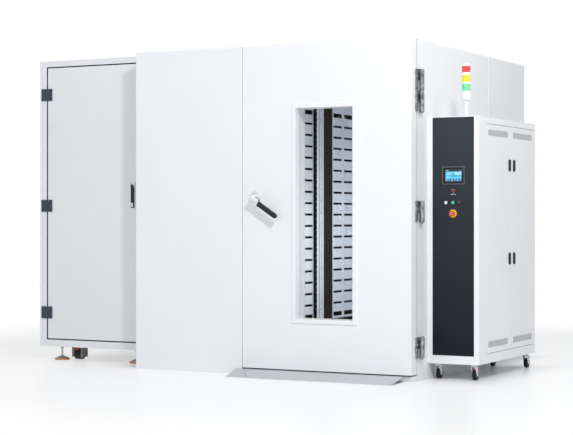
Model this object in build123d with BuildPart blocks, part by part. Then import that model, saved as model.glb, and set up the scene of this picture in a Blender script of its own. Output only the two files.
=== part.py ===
from math import cos, radians, sin
import os

from build123d import *

# Walk-in environmental test chamber with a machine cabinet on its left and a control cabinet on its right.
# Millimetres, +Z up, -Y towards the person at the door, +X to that person's right.
# The origin is on the floor, under the middle of the test chamber.

# Test chamber, outside
chamber_width = 2370.0
chamber_depth = 2450.0
chamber_height = 2500.0
wall = 100.0
floor_thickness = 50.0
sill_recess = 28.0
sill_height = 38.0
edge_radius = 5.0
strip_width = 80.0
strip_proud = 3.0
strip_from_front = 1580.0

# Front frame and the door that shuts against it
frame_depth = 125.0
frame_lap = 70.0
door_width = 1400.0
door_thickness = 102.0
door_floor_gap = 51.0
seam = 4.0
seal_gap = 8.0
seal_width = 48.0
plug_depth = 45.0
plug_clearance = 10.0
window_left = 462.0
window_width = 474.0
window_bottom = 435.0
window_from_top = 483.0
rim_width = 38.0
rim_proud = 11.0
rim_slope = 35.0
pane_thickness = 6.0
pane_inset = 60.0

# Door hinges, with lift-off knuckles on the right-hand side
hinge_bottom = 245.0
hinge_middle = 1240.0
hinge_from_top = 297.0
hinge_pair_spacing = 157.0
hinge_height = 154.0
leaf_thickness = 8.0
knuckle_radius = 20.0
knuckle_clearance = 3.0
hinge_behind_face = 143.0
door_leaf_width = 50.0
frame_leaf_width = 56.0
hinge_pin_radius = 8.0
hinge_bolt_radius = 6.0
hinge_bolt_height = 4.0
door_bolt_spacing = 42.0
frame_bolt_spacing = 105.0
bolt_from_edge = 16.0
pin_end_gap = 10.0
pin_end_play = 1.0
finial_height = 14.0
finial_tip_radius = 5.0
finial_base_radius = 17.0

# Door latch: a lever on a rose, turning a spindle that throws a bolt into the fixed front
latch_from_edge = 120.0
latch_height = 1336.0
lever_droop = 33.0
bolt_travel = 18.0
bolt_tail = 10.0
bolt_clearance = 0.3
bolt_chamfer = 8.0
pocket_clearance = 2.0
spindle_clearance = 2.0
rose_width = 76.0
rose_height = 120.0
rose_corner = 37.0
rose_thickness = 12.0
rose_edge = 5.0
boss_radius = 31.0
boss_height = 60.0
boss_taper = 8.0
hub_radius = 24.0
hub_height = 24.0
hub_edge = 6.0
neck_inset = 2.0
neck_width = 36.0
neck_end_width = 28.0
spindle_radius = 8.0
grip_start = 64.0
grip_length = 190.0
grip_width = 38.0
grip_thickness = 26.0
grip_edge = 8.0
bolt_size = 24.0

# Threshold ramp
ramp_depth = 250.0
ramp_height = 42.0
ramp_sheet = 3.0
ramp_toe = 9.0
ramp_left_overhang = 50.0
ramp_right_inset = 45.0
ramp_left_slant = 45.0
ramp_right_slant = 15.0

# Inside the test space
liner = 2.0
duct_from_wall = 990.0
duct_sheet = 4.0
duct_bottom = 340.0
duct_from_top = 250.0
slot_pitch = 93.7
slot_length = 165.0
slot_spacing = 209.0
slot_height = 18.0
slot_margin = 16.0
first_slot = 377.0
slot_top_margin = 150.0
slots_per_sheet = 4
front_duct_end = 1165.0
post_start = 1170.0
post_width = 128.0
post_depth = 32.0
post_proud = 28.0
wide_groove_inset = 41.0
narrow_groove_inset = 30.0
groove_depth = 10.0
wide_groove = 14.0
narrow_groove = 8.0
rear_duct_start = 1524.0
rack_thickness = 5.0
rack_depth = 30.0
rack_pitch = 46.85
rack_notch = 18.0

# Air handling behind the duct wall
fan_from_top = 510.0
fan_from_front = 1275.0
impeller_radius = 230.0
impeller_eye_radius = 140.0
impeller_depth = 150.0
impeller_sheet = 5.0
impeller_clearance = 60.0
impeller_blades = 10
blade_length = 105.0
blade_lean = 35.0
impeller_hub_length = 60.0
hub_ratio = 3.0
shaft_radius = 14.0
shaft_end_gap = 10.0
wall_hole_clearance = 2.0
motor_length = 300.0
motor_radius = 95.0
motor_flange = 16.0
motor_flange_size = 240.0
motor_fins = 20
motor_fin_height = 10.0
motor_fin_width = 5.0
motor_box_inset = 60.0
motor_box_width = 90.0
motor_box_height = 40.0
motor_bore_depth = 120.0

# Refrigeration: the evaporator coil, and the compressors and condenser in the machine cabinet
coil_from_liner = 130.0
coil_behind_fan = 290.0
coil_width = 560.0
coil_height = 820.0
coil_depth = 220.0
coil_bottom = 560.0
coil_fins = 24
fin_thickness = 3.0
fin_proud = 12.0
end_plate = 4.0
suction_from_coil = 90.0
suction_z = 1310.0
suction_radius = 17.0
suction_bend = 90.0
liquid_z = 800.0
liquid_radius = 9.0
compressor_inset = 300.0
compressor_spacing = 400.0
compressor_radius = 115.0
compressor_height = 420.0
compressor_dome = 55.0
compressor_plate = 20.0
condenser_inset_left = 145.0
condenser_inset_right = 265.0
condenser_bottom = 700.0
condenser_height = 800.0
condenser_core = 80.0
condenser_from_back = 212.0
condenser_fins = 30
shroud_depth = 50.0
shroud_radius = 255.0
spider_thickness = 8.0
spider_width = 40.0
fan_motor_radius = 50.0
fan_motor_length = 60.0
axial_radius = 240.0
axial_hub_radius = 60.0
axial_hub_depth = 36.0
axial_blades = 5
axial_blade_width = 90.0
axial_blade_thickness = 4.0
axial_pitch = 28.0
axial_shaft_radius = 8.0
leg_size = 30.0

# Machine cabinet
machine_width = 1110.0
machine_depth = 1600.0
machine_bottom = 120.0
machine_setback = 240.0
machine_sheet = 3.0
machine_frame_left = 75.0
machine_frame_right = 125.0
machine_frame_top = 54.0
machine_frame_bottom = 63.0
machine_frame_depth = 45.0
machine_side_rim = 60.0
machine_lip = 15.0
machine_door_thickness = 25.0
machine_door_edge = 2.0
machine_door_gap = 4.0
louvre_length = 300.0
louvre_height = 12.0
louvre_pitch = 40.0
louvre_rows = 16
intake_height = 420.0
intake_rows = 8
plate_hinge_bottom = 403.0
plate_hinge_middle = 1294.0
plate_hinge_from_top = 280.0
plate_hinge_height = 99.0
plate_leaf_width = 49.0
plate_door_leaf_width = 36.0
plate_leaf_thickness = 7.0
plate_leaf_gap = 11.0
plate_knuckle_radius = 8.0
plate_knuckle_share = 0.3
plate_knuckle_clearance = 1.0
plate_pin_radius = 4.0
machine_handle_height = 212.0
machine_handle_width = 40.0
machine_handle_middle = 1374.0
machine_handle_inset = 55.0
pan_proud = 12.0
pan_floor = 4.0
pan_rim = 5.0
pivot_from_top = 24.0
pivot_proud = 1.0
ear_radius = 9.0
handle_lever_thickness = 13.0
handle_lever_edge = 3.0
handle_lever_gap = 1.0
handle_pin_radius = 3.0
foot_setback = 145.0
foot_inset_left = 120.0
foot_inset_right = 240.0
foot_ring_height = 12.0
foot_pad_radius = 62.0
foot_pad_height = 34.0
foot_neck_radius = 14.0
foot_stem_radius = 8.0
foot_nut_radius = 15.0
foot_nut_height = 12.0
foot_collar_radius = 20.0
jack_caster_inset = 230.0
jack_caster_setback = 246.0
jack_width = 110.0
jack_depth = 74.0
jack_cheek = 22.0
jack_plate = 8.0
jack_bottom = 20.0
jack_wheel_radius = 36.0
jack_lever = 22.0
jack_lever_overlap = 4.0

# Control cabinet
control_width = 402.0
control_depth = 1243.0
control_bottom = 118.0
control_top = 1939.0
control_setback = 312.0
control_sheet = 3.0
panel_side_margin = 38.5
panel_top_margin = 6.0
panel_bottom_margin = 62.0
panel_thickness = 6.0
panel_proud = 1.5
side_frame_front = 168.0
side_frame_rear = 25.0
side_frame_top = 46.0
side_frame_bottom = 69.0
side_frame_depth = 32.0
side_lip = 12.0
side_door_thickness = 20.0
side_door_gap = 3.5
side_door_edge = 1.5
pivot_radius = 4.0
pivot_inset = 6.0
pivot_length = 12.0
vent_height = 62.0
vent_margin = 34.0
vent_sunk = 1.5
vent_slot_pitch = 14.0
front_vent_from_edge = 26.0
front_vent_width = 420.0
rear_vent_from_edge = 42.0
rear_vent_width = 438.0
lock_width = 26.0
lock_height = 90.0
lock_corner = 12.0
lock_edge = 3.0
lock_grip_height = 13.0
lock_spindle_radius = 8.0
lock_reach = 38.0
cam_length = 34.0
cam_thickness = 6.0
lock_heights = [882.0, 1594.0]
lock_from_seam = 50.0

# Mounting plate
plate_spacer = 8.0
plate_spacer_radius = 8.0
plate_margin = 60.0
plate_sheet = 3.0
device_rows = 4
device_columns = 16
device_pitch = 56.0
device_width = 52.0
device_row_pitch = 300.0
device_row_length = 980.0
device_height = 110.0
device_depth = 75.0
duct_size = 60.0

# Instruments and switches, measured from the cabinet's left side and the floor
screen_centre = (206.0, 1505.0)
screen_size = (170.0, 128.0)
screen_border = 12.0
screen_sunk = 1.5
screen_body = 40.0
bezel_lap = 5.0
bezel_radius = 4.0
bezel_proud = 6.0
limiter_centre = (205.0, 1382.0)
limiter_size = 50.0
limiter_window_width = 40.0
limiter_window_height = 25.0
limiter_window_up = 6.25
limiter_keys = 4
limiter_key_pitch = 10.0
limiter_key_width = 7.5
limiter_key_height = 6.0
limiter_keys_down = 16.0
limiter_body = 90.0
key_proud = 1.0
switch_height = 1305.0
white_from_left = 149.0
green_from_left = 205.0
selector_from_left = 260.0
stop_centre = (200.0, 1225.0)
collar_radius = 15.0
collar_height = 9.0
collar_floor = 3.0
barrel_radius = 11.0
barrel_length = 30.0
stem_radius = 7.0
cap_radius = 11.45
cap_height = 8.0
cap_chamfer = 1.0
button_travel = 4.0
selector_bar_length = 21.9
selector_bar_width = 7.0
selector_bar_height = 9.0
stop_travel = 5.0
stop_head_radius = 20.0
stop_head_height = 14.0
stop_head_edge = 4.6
stop_ring_radius = 30.0
stop_ring_height = 2.0
stop_boss_radius = 14.0

# Stack light
stack_from_left = 269.0
stack_from_front = 88.0
stack_radius = 31.5
stack_core_radius = 20.0
stack_lens_heights = [(190.0, 241.0), (256.0, 307.0), (327.0, 373.0)]
stack_base_bottom = 125.0
stack_top = 393.0
stack_cap_radius = 8.0
stack_pole_radius = 14.0
stack_flange = 5.0
stack_flange_radius = 28.0

# Casters under the control cabinet
caster_inset_x = 59.0
caster_inset_y = 56.0
caster_wheel_radius = 37.5
caster_wheel_width = 28.0
caster_trail = 28.0
caster_axle_radius = 5.0
tread_radius = 4.0
kingpin_radius = 6.0
kingpin_length = 16.0
kingpin_boss_radius = 16.0
fork_head_radius = 22.0
fork_head_height = 20.0
cheek_clearance = 1.5
cheek_thickness = 3.0
cheek_foot = 12.0
pedal_width = 26.0
pedal_reach = 46.0
pedal_lift = 32.0
pedal_thickness = 7.0

# Fits
seat_gap = 0.3
running_gap = 0.05

# Places that follow from the sizes
left, right = -chamber_width / 2, chamber_width / 2
front, back = -chamber_depth / 2, chamber_depth / 2
door_back = front + door_thickness
frame_front = door_back + seal_gap
frame_back = frame_front + frame_depth
door_left = right - door_width
fixed_right = door_left - seam
opening_left = door_left + frame_lap
opening_right = right - wall
opening_top = chamber_height - wall
plug_left, plug_right = opening_left + plug_clearance, opening_right - plug_clearance
plug_bottom, plug_top = floor_thickness + plug_clearance, opening_top - plug_clearance
plug_back = door_back + plug_depth
window_x = (door_left + window_left, door_left + window_left + window_width)
window_z = (window_bottom, chamber_height - window_from_top)
window_height = window_z[1] - window_z[0]
inside_left, inside_right = left + wall, right - wall
inside_back = back - wall
duct_x = inside_left + duct_from_wall - wall
duct_top = chamber_height - duct_from_top
fan_y = front + fan_from_front
fan_height = chamber_height - fan_from_top
top_hinge = chamber_height - hinge_from_top
hinge_heights = [hinge_bottom, hinge_middle, top_hinge - hinge_pair_spacing, top_hinge]
plate_hinge_heights = [plate_hinge_bottom, plate_hinge_middle, chamber_height - plate_hinge_from_top]

on_base = (Align.CENTER, Align.CENTER, Align.MIN)

all_parts = {}


def slab(x, y, z, mode=Mode.ADD):
    """A box between two corners, each side given as (low, high)."""
    with Locations(((x[0] + x[1]) / 2, (y[0] + y[1]) / 2, (z[0] + z[1]) / 2)):
        return Box(x[1] - x[0], y[1] - y[0], z[1] - z[0], mode=mode)


def rod(radius, start, length, direction, mode=Mode.ADD):
    """A round bar from start, along one of the axes."""
    turn = {"X": (0, 90, 0), "Y": (-90, 0, 0), "Z": (0, 0, 0)}[direction]
    with Locations(start):
        return Cylinder(radius, length, rotation=turn, align=on_base, mode=mode)


def keep(name, part):
    """Labels a finished piece and holds it for writing."""
    part.label = name
    all_parts[name] = part


# Insulated floor, with the sill that the door closes over
with BuildPart() as floor_base:
    slab((left, right), (frame_front, back), (0, floor_thickness))
    slab((door_left, right), (front + sill_recess, frame_front), (0, sill_height))
    slab((right - ramp_sheet, right), (front + ramp_sheet, frame_front), (0, sill_height))
keep("floor_base", floor_base.part)

# Roof
with BuildPart() as roof_panel:
    slab((left, right), (frame_back, back), (opening_top, chamber_height))
    fillet(roof_panel.edges().filter_by(Axis.Y).group_by(Axis.Z)[-1], edge_radius)
keep("roof_panel", roof_panel.part)

# Left wall, with the holes that the fan shaft and the refrigerant lines pass through
compressor_y = fan_y + coil_behind_fan - suction_from_coil
liquid_y = fan_y + coil_behind_fan + suction_from_coil


def wall_holes(x, depth):
    """Clearance holes for the fan shaft, the suction line and the liquid line."""
    for radius, y, z in (
        (shaft_radius, fan_y, fan_height),
        (suction_radius, compressor_y, suction_z),
        (liquid_radius, liquid_y, liquid_z),
    ):
        rod(radius + wall_hole_clearance, (x, y, z), depth, "X", Mode.SUBTRACT)


with BuildPart() as left_wall:
    slab((left, inside_left), (frame_back, back), (floor_thickness, opening_top))
    wall_holes(left, wall)
keep("left_wall", left_wall.part)

# Right wall in two panels, with the strip that covers their joint
strip_y = (front + strip_from_front, front + strip_from_front + strip_width)
panel_joint = (strip_y[0] + strip_y[1]) / 2
with BuildPart() as right_wall:
    slab((inside_right, right), (frame_back, panel_joint), (floor_thickness, opening_top))
    slab((inside_right, right), (panel_joint, back), (floor_thickness, opening_top))
    slab((right, right + strip_proud), strip_y, (0, chamber_height))
keep("right_wall", right_wall.part)

# Back wall
with BuildPart() as back_wall:
    slab((inside_left, inside_right), (inside_back, back), (floor_thickness, opening_top))
keep("back_wall", back_wall.part)

# Front wall: the fixed front, flush with the door, and the frame around the door opening
bolt_y = front + door_thickness / 2
with BuildPart() as front_wall:
    slab((left, fixed_right), (front, frame_front), (0, chamber_height))
    fillet(front_wall.edges().filter_by(Axis.Z).group_by(Axis.Y)[0], edge_radius)
    slab((left, right), (frame_front, frame_back), (floor_thickness, chamber_height))
    slab(
        (opening_left, opening_right),
        (frame_front, frame_back),
        (floor_thickness, opening_top),
        Mode.SUBTRACT,
    )
    slab(
        (fixed_right - bolt_travel, fixed_right),
        (bolt_y - bolt_size / 2 - pocket_clearance, bolt_y + bolt_size / 2 + pocket_clearance),
        (
            latch_height - bolt_size / 2 - pocket_clearance,
            latch_height + bolt_size / 2 + pocket_clearance,
        ),
        Mode.SUBTRACT,
    )
keep("front_wall", front_wall.part)

# Stainless liner of the test space, in five sheets, open to the front
liner_z = (floor_thickness + liner + seat_gap, opening_top - liner - seat_gap)
liner_side_y = (frame_back, inside_back - liner - seat_gap)
with BuildPart() as inner_liner:
    for z in (floor_thickness, opening_top - liner):
        slab((inside_left, inside_right), (frame_back, inside_back), (z, z + liner))
    slab((inside_left, inside_right), (inside_back - liner, inside_back), liner_z)
    for x in (inside_left, inside_right - liner):
        slab((x, x + liner), liner_side_y, liner_z)
    wall_holes(inside_left, liner)
keep("inner_liner", inner_liner.part)

# Threshold ramp: a folded sheet with open ends, trimmed to slanting ends
ramp_left = door_left - ramp_left_overhang
ramp_right = right - ramp_right_inset
with BuildPart() as entry_ramp:
    with BuildSketch(Plane.YZ.offset(ramp_left)) as ramp_profile:
        with BuildLine():
            Polyline(
                (front - ramp_depth, 0),
                (front - seat_gap, 0),
                (front - seat_gap, ramp_sheet),
                (front - ramp_depth + ramp_toe, ramp_sheet),
                (front - seat_gap, ramp_height - ramp_sheet),
                (front - seat_gap, ramp_height),
                (front - ramp_depth, ramp_sheet),
                close=True,
            )
        make_face()
    extrude(amount=ramp_right - ramp_left)
    with BuildSketch() as ramp_plan:
        with BuildLine():
            Polyline(
                (ramp_left, front),
                (ramp_right - ramp_right_slant, front),
                (ramp_right, front - ramp_depth),
                (ramp_left + ramp_left_slant, front - ramp_depth),
                close=True,
            )
        make_face()
    extrude(amount=ramp_height, mode=Mode.INTERSECT)
keep("entry_ramp", entry_ramp.part)

# Door slab with its stepped plug and window tunnel
lever_x = door_left + latch_from_edge
with BuildPart() as door_slab:
    slab((door_left, right), (front, door_back), (door_floor_gap, chamber_height))
    fillet(door_slab.edges().filter_by(Axis.Z).group_by(Axis.Y)[0], edge_radius)
    slab((plug_left, plug_right), (door_back, plug_back), (plug_bottom, plug_top))
    slab(window_x, (front, plug_back), window_z, Mode.SUBTRACT)
    rod(
        spindle_radius + spindle_clearance,
        (lever_x, front, latch_height),
        door_thickness / 2,
        "Y",
        Mode.SUBTRACT,
    )
    slab(
        (door_left, lever_x + bolt_tail + bolt_travel),
        (bolt_y - bolt_size / 2 - bolt_clearance, bolt_y + bolt_size / 2 + bolt_clearance),
        (
            latch_height - bolt_size / 2 - bolt_clearance,
            latch_height + bolt_size / 2 + bolt_clearance,
        ),
        Mode.SUBTRACT,
    )
keep("door_slab", door_slab.part)

# Bevelled frame round the window
with BuildPart() as window_frame:
    with BuildSketch(Plane.XZ.offset(-front)):
        with Locations(((window_x[0] + window_x[1]) / 2, (window_z[0] + window_z[1]) / 2)):
            Rectangle(window_width + 2 * rim_width, window_height + 2 * rim_width)
    extrude(amount=rim_proud, taper=rim_slope)
    slab(window_x, (front - rim_proud, front), window_z, Mode.SUBTRACT)
keep("window_frame", window_frame.part)

# Heated double glazing in the window tunnel
with BuildPart() as window_panes:
    for pane_y in (front + pane_inset, plug_back - 2 * pane_thickness):
        slab(window_x, (pane_y, pane_y + pane_thickness), window_z)
keep("window_panes", window_panes.part)

# Door gasket, round the plug
with BuildPart() as door_gasket:
    slab(
        (plug_left - seal_width, plug_right + seal_width),
        (door_back, frame_front - seat_gap),
        (door_floor_gap + 1, plug_top + seal_width),
    )
    slab(
        (plug_left, plug_right), (door_back, frame_front - seat_gap), (plug_bottom, plug_top), Mode.SUBTRACT
    )
keep("door_gasket", door_gasket.part)

# Door hinges: the lower knuckle and its pin on the frame, the upper knuckle on the door
hinge_x = right + knuckle_radius + knuckle_clearance
hinge_y = front + hinge_behind_face
leaf_x = (right, right + leaf_thickness)
arm_x = (right + knuckle_clearance, right + knuckle_clearance + leaf_thickness)
with BuildPart() as hinge_wall_leaves:
    for middle in hinge_heights:
        low = middle - hinge_height / 2
        leaf_y = (hinge_y + knuckle_radius, hinge_y + knuckle_radius + frame_leaf_width)
        slab(leaf_x, leaf_y, (low, low + hinge_height))
        slab(arm_x, (hinge_y, leaf_y[0] + leaf_thickness), (low, middle))
        rod(knuckle_radius, (hinge_x, hinge_y, low), hinge_height / 2, "Z")
        rod(hinge_pin_radius, (hinge_x, hinge_y, low), hinge_height - pin_end_gap, "Z")
        for bolt_z in (middle - frame_bolt_spacing / 2, middle + frame_bolt_spacing / 2):
            bolt_place = (leaf_x[1], leaf_y[1] - bolt_from_edge, bolt_z)
            rod(hinge_bolt_radius, bolt_place, hinge_bolt_height, "X")
    for middle in hinge_heights[:-1]:
        with Locations((hinge_x, hinge_y, middle - hinge_height / 2 - finial_height / 2)):
            Cone(finial_tip_radius, finial_base_radius, finial_height)
keep("hinge_wall_leaves", hinge_wall_leaves.part)

with BuildPart() as hinge_door_leaves:
    for middle in hinge_heights:
        low = middle - hinge_height / 2
        leaf_y = (hinge_y - knuckle_radius - door_leaf_width, hinge_y - knuckle_radius)
        slab(leaf_x, (leaf_y[0], door_back), (low, low + hinge_height))
        slab((leaf_x[1], arm_x[1]), (leaf_y[0], door_back), (low, low + hinge_height))
        slab(arm_x, (leaf_y[0], hinge_y), (middle + seat_gap, low + hinge_height))
        rod(knuckle_radius, (hinge_x, hinge_y, middle + seat_gap), hinge_height / 2 - seat_gap, "Z")
        rod(
            hinge_pin_radius + running_gap,
            (hinge_x, hinge_y, middle),
            hinge_height / 2 - pin_end_gap + pin_end_play,
            "Z",
            Mode.SUBTRACT,
        )
        for bolt_z in (middle - door_bolt_spacing / 2, middle + door_bolt_spacing / 2):
            bolt_place = (arm_x[1], leaf_y[0] + bolt_from_edge, bolt_z)
            rod(hinge_bolt_radius, bolt_place, hinge_bolt_height, "X")
keep("hinge_door_leaves", hinge_door_leaves.part)

# Latch rose and boss on the door's face
latch_plane = Plane(origin=(lever_x, front, latch_height), x_dir=(1, 0, 0), z_dir=(0, -1, 0))
lever_plane = Plane(
    origin=latch_plane.origin,
    x_dir=(cos(radians(lever_droop)), 0, -sin(radians(lever_droop))),
    z_dir=(0, -1, 0),
)
with BuildPart() as latch_body:
    with BuildSketch(latch_plane):
        RectangleRounded(rose_width, rose_height, rose_corner)
    extrude(amount=rose_thickness)
    fillet(latch_body.faces().sort_by(Axis.Y)[0].edges(), rose_edge)
    with BuildSketch(latch_plane.offset(rose_thickness)):
        Circle(boss_radius)
    extrude(amount=boss_height - rose_thickness, taper=boss_taper)
    with BuildSketch(latch_plane):
        Circle(spindle_radius + running_gap)
    extrude(amount=boss_height, mode=Mode.SUBTRACT)
keep("latch_body", latch_body.part)

# Latch lever: hub, tapering neck and the spindle into the door
hub_start = boss_height + seat_gap
with BuildPart() as latch_lever:
    with BuildSketch(lever_plane.offset(hub_start)):
        Circle(hub_radius)
    extrude(amount=hub_height)
    fillet(latch_lever.faces().sort_by(Axis.Y)[0].edges(), hub_edge)
    with BuildSketch(lever_plane.offset(hub_start + neck_inset)):
        with BuildLine():
            Polyline(
                (0, neck_width / 2),
                (grip_start, neck_end_width / 2),
                (grip_start, -neck_end_width / 2),
                (0, -neck_width / 2),
                close=True,
            )
        make_face()
    extrude(amount=hub_height - 2 * neck_inset)
    with BuildSketch(lever_plane.offset(hub_start)):
        Circle(spindle_radius)
    extrude(amount=-(hub_start + door_thickness / 2 - bolt_size / 2 - spindle_clearance))
keep("latch_lever", latch_lever.part)

# Latch grip: a flattened bar with a round end
with BuildPart() as latch_grip:
    with BuildSketch(lever_plane.offset(hub_start + hub_height / 2 - grip_thickness / 2)):
        with Locations((grip_start + (grip_length - grip_width / 2) / 2, 0)):
            Rectangle(grip_length - grip_width / 2, grip_width)
        with Locations((grip_start + grip_length - grip_width / 2, 0)):
            Circle(grip_width / 2)
    extrude(amount=grip_thickness)
    fillet(latch_grip.faces().sort_by(Axis.Y)[0].edges(), grip_edge)
    fillet(latch_grip.faces().sort_by(Axis.Y)[-1].edges(), grip_edge)
keep("latch_grip", latch_grip.part)

# Latch bolt, flush with the door's edge at rest
with BuildPart() as latch_bolt:
    slab(
        (door_left + seat_gap, lever_x + bolt_tail),
        (bolt_y - bolt_size / 2, bolt_y + bolt_size / 2),
        (latch_height - bolt_size / 2, latch_height + bolt_size / 2),
    )
    chamfer(latch_bolt.edges().filter_by(Axis.Z).group_by(Axis.X)[0].sort_by(Axis.Y)[-1:], bolt_chamfer)
keep("latch_bolt", latch_bolt.part)

# Duct wall: two slotted sheets that blow the conditioned air into the test space
front_sheet = (frame_back + liner, front + front_duct_end)
rear_sheet = (front + rear_duct_start, inside_back - liner)
slot_rows = int((duct_top - first_slot - slot_top_margin) / slot_pitch) + 1
slot_steps = [slot_margin + slot_length / 2 + n * slot_spacing for n in range(slots_per_sheet)]
slot_middles = [front_sheet[1] - step for step in slot_steps]
slot_middles += [rear_sheet[0] + step for step in slot_steps]
end_rows = (first_slot, first_slot + (slot_rows - 1) * slot_pitch)
inner_rows = [first_slot + row * slot_pitch for row in range(1, slot_rows - 1)]
with BuildPart() as duct_wall:
    with BuildSketch(Plane.YZ.offset(duct_x)):
        for sheet in (front_sheet, rear_sheet):
            with Locations(((sheet[0] + sheet[1]) / 2, (duct_bottom + duct_top) / 2)):
                Rectangle(sheet[1] - sheet[0], duct_top - duct_bottom)
        with Locations(*[(y, z) for y in slot_middles for z in inner_rows]):
            Rectangle(slot_length, slot_height, mode=Mode.SUBTRACT)
        with Locations(*[(y, z) for y in slot_middles for z in end_rows]):
            Rectangle(slot_length, 2 * slot_height, mode=Mode.SUBTRACT)
    extrude(amount=-duct_sheet)
keep("duct_wall", duct_wall.part)

# Posts that carry the duct wall, with the grooved middle post and the toothed racks for shelves
post_y = (front + post_start, front + post_start + post_width)
post_z = (floor_thickness + liner, opening_top - liner)
duct_back = duct_x - duct_sheet
rack_y = (post_y[0] - rack_thickness, post_y[0])
notch_count = int((duct_top - duct_bottom) / rack_pitch) - 1
notch_heights = [duct_bottom + (n + 1) * rack_pitch for n in range(notch_count)]
wide_groove_y = post_y[0] + wide_groove_inset
narrow_groove_y = post_y[1] - narrow_groove_inset - narrow_groove
with BuildPart() as shelf_posts:
    slab((duct_back - post_depth, duct_x + post_proud), post_y, post_z)
    for start, width in ((wide_groove_y, wide_groove), (narrow_groove_y, narrow_groove)):
        slab(
            (duct_x + post_proud - groove_depth, duct_x + post_proud),
            (start, start + width),
            post_z,
            Mode.SUBTRACT,
        )
    for end_y in (front_sheet[0], rear_sheet[1] - post_depth):
        slab((duct_back - post_depth, duct_back), (end_y, end_y + post_depth), post_z)
    slab((duct_back - post_depth, duct_back), (front_sheet[1] - post_depth, post_y[0]), post_z)
    slab((duct_back - post_depth, duct_back), (post_y[1], rear_sheet[0] + post_depth), post_z)
    with BuildSketch(Plane.XZ.offset(-rack_y[0])):
        with Locations(((duct_back + duct_x + rack_depth) / 2, (duct_bottom + duct_top) / 2)):
            Rectangle(rack_depth + duct_sheet, duct_top - duct_bottom)
        with Locations(*[(duct_x + rack_depth, z) for z in notch_heights]):
            Rectangle(rack_notch, rack_notch / 2, mode=Mode.SUBTRACT)
    extrude(amount=-rack_thickness)
keep("shelf_posts", shelf_posts.part)

# Circulation fan motor with cooling fins, bolted to the outside of the left wall
with BuildPart() as fan_motor:
    slab(
        (left - motor_flange, left),
        (fan_y - motor_flange_size / 2, fan_y + motor_flange_size / 2),
        (fan_height - motor_flange_size / 2, fan_height + motor_flange_size / 2),
    )
    with BuildSketch(Plane.YZ.offset(left - motor_length)):
        with Locations((fan_y, fan_height)):
            Circle(motor_radius)
            with PolarLocations(motor_radius, motor_fins):
                Rectangle(2 * motor_fin_height, motor_fin_width)
    extrude(amount=motor_length - motor_flange)
    slab(
        (left - motor_length + motor_box_inset, left - motor_flange - motor_box_inset),
        (fan_y - motor_box_width / 2, fan_y + motor_box_width / 2),
        (fan_height, fan_height + motor_radius + motor_box_height),
    )
    rod(
        shaft_radius + running_gap,
        (left - motor_bore_depth, fan_y, fan_height),
        motor_bore_depth,
        "X",
        Mode.SUBTRACT,
    )
keep("fan_motor", fan_motor.part)

# Fan impeller with leaning blades between two discs, and its long shaft through the wall
impeller_back = inside_left + liner + impeller_clearance
shaft_start = left - motor_bore_depth + shaft_end_gap
with BuildPart() as fan_impeller:
    with BuildSketch(Plane.YZ.offset(impeller_back)):
        with Locations((fan_y, fan_height)):
            Circle(impeller_radius)
    extrude(amount=impeller_sheet)
    with BuildSketch(Plane.YZ.offset(impeller_back)):
        with Locations((fan_y, fan_height)):
            with PolarLocations((impeller_radius + impeller_eye_radius) / 2, impeller_blades):
                Rectangle(blade_length, impeller_sheet, rotation=blade_lean)
    extrude(amount=impeller_depth)
    with BuildSketch(Plane.YZ.offset(impeller_back + impeller_depth)):
        with Locations((fan_y, fan_height)):
            Circle(impeller_radius)
            Circle(impeller_eye_radius, mode=Mode.SUBTRACT)
    extrude(amount=-impeller_sheet)
    rod(hub_ratio * shaft_radius, (impeller_back, fan_y, fan_height), impeller_hub_length, "X")
    rod(
        shaft_radius,
        (shaft_start, fan_y, fan_height),
        impeller_back + impeller_hub_length - shaft_start,
        "X",
    )
keep("fan_impeller", fan_impeller.part)

# Machine cabinet casing: folded sheet on a front frame, open towards the chamber, louvred to the rear
machine_left = left - machine_width
machine_front = front + machine_setback
machine_back = machine_front + machine_depth
machine_floor = machine_bottom + machine_sheet
machine_opening_x = (machine_left + machine_frame_left, left - machine_frame_right)
machine_opening_z = (machine_bottom + machine_frame_bottom, chamber_height - machine_frame_top)
lip_front = machine_front + machine_door_thickness + machine_door_gap
condenser_x = (machine_left + condenser_inset_left, left - condenser_inset_right)
condenser_z = (condenser_bottom, condenser_bottom + condenser_height)
condenser_middle = ((condenser_x[0] + condenser_x[1]) / 2, (condenser_z[0] + condenser_z[1]) / 2)
with BuildPart() as machine_casing:
    slab((machine_left, left), (machine_front, machine_back), (machine_bottom, chamber_height))
    slab(
        (machine_left + machine_sheet, left - machine_sheet),
        (machine_front + machine_frame_depth, machine_back - machine_sheet),
        (machine_floor, chamber_height - machine_sheet),
        Mode.SUBTRACT,
    )
    slab(
        (left - machine_sheet, left),
        (machine_front + machine_side_rim, machine_back - machine_side_rim),
        (machine_bottom + machine_side_rim, chamber_height - machine_side_rim),
        Mode.SUBTRACT,
    )
    slab(machine_opening_x, (machine_front, lip_front), machine_opening_z, Mode.SUBTRACT)
    slab(
        (machine_opening_x[0] + machine_lip, machine_opening_x[1] - machine_lip),
        (lip_front, machine_front + machine_frame_depth),
        (machine_opening_z[0] + machine_lip, machine_opening_z[1] - machine_lip),
        Mode.SUBTRACT,
    )
    with BuildSketch(Plane.XZ.offset(-machine_back)):
        with Locations(condenser_middle):
            with GridLocations(louvre_length + louvre_pitch, louvre_pitch, 2, louvre_rows):
                Rectangle(louvre_length, louvre_height)
    extrude(amount=machine_sheet, mode=Mode.SUBTRACT)
    with BuildSketch(Plane.YZ.offset(machine_left)):
        with Locations(((machine_front + machine_back) / 2, intake_height)):
            with GridLocations(louvre_length + louvre_pitch, louvre_pitch, 3, intake_rows):
                Rectangle(louvre_length, louvre_height)
    extrude(amount=machine_sheet, mode=Mode.SUBTRACT)
keep("machine_casing", machine_casing.part)

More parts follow.
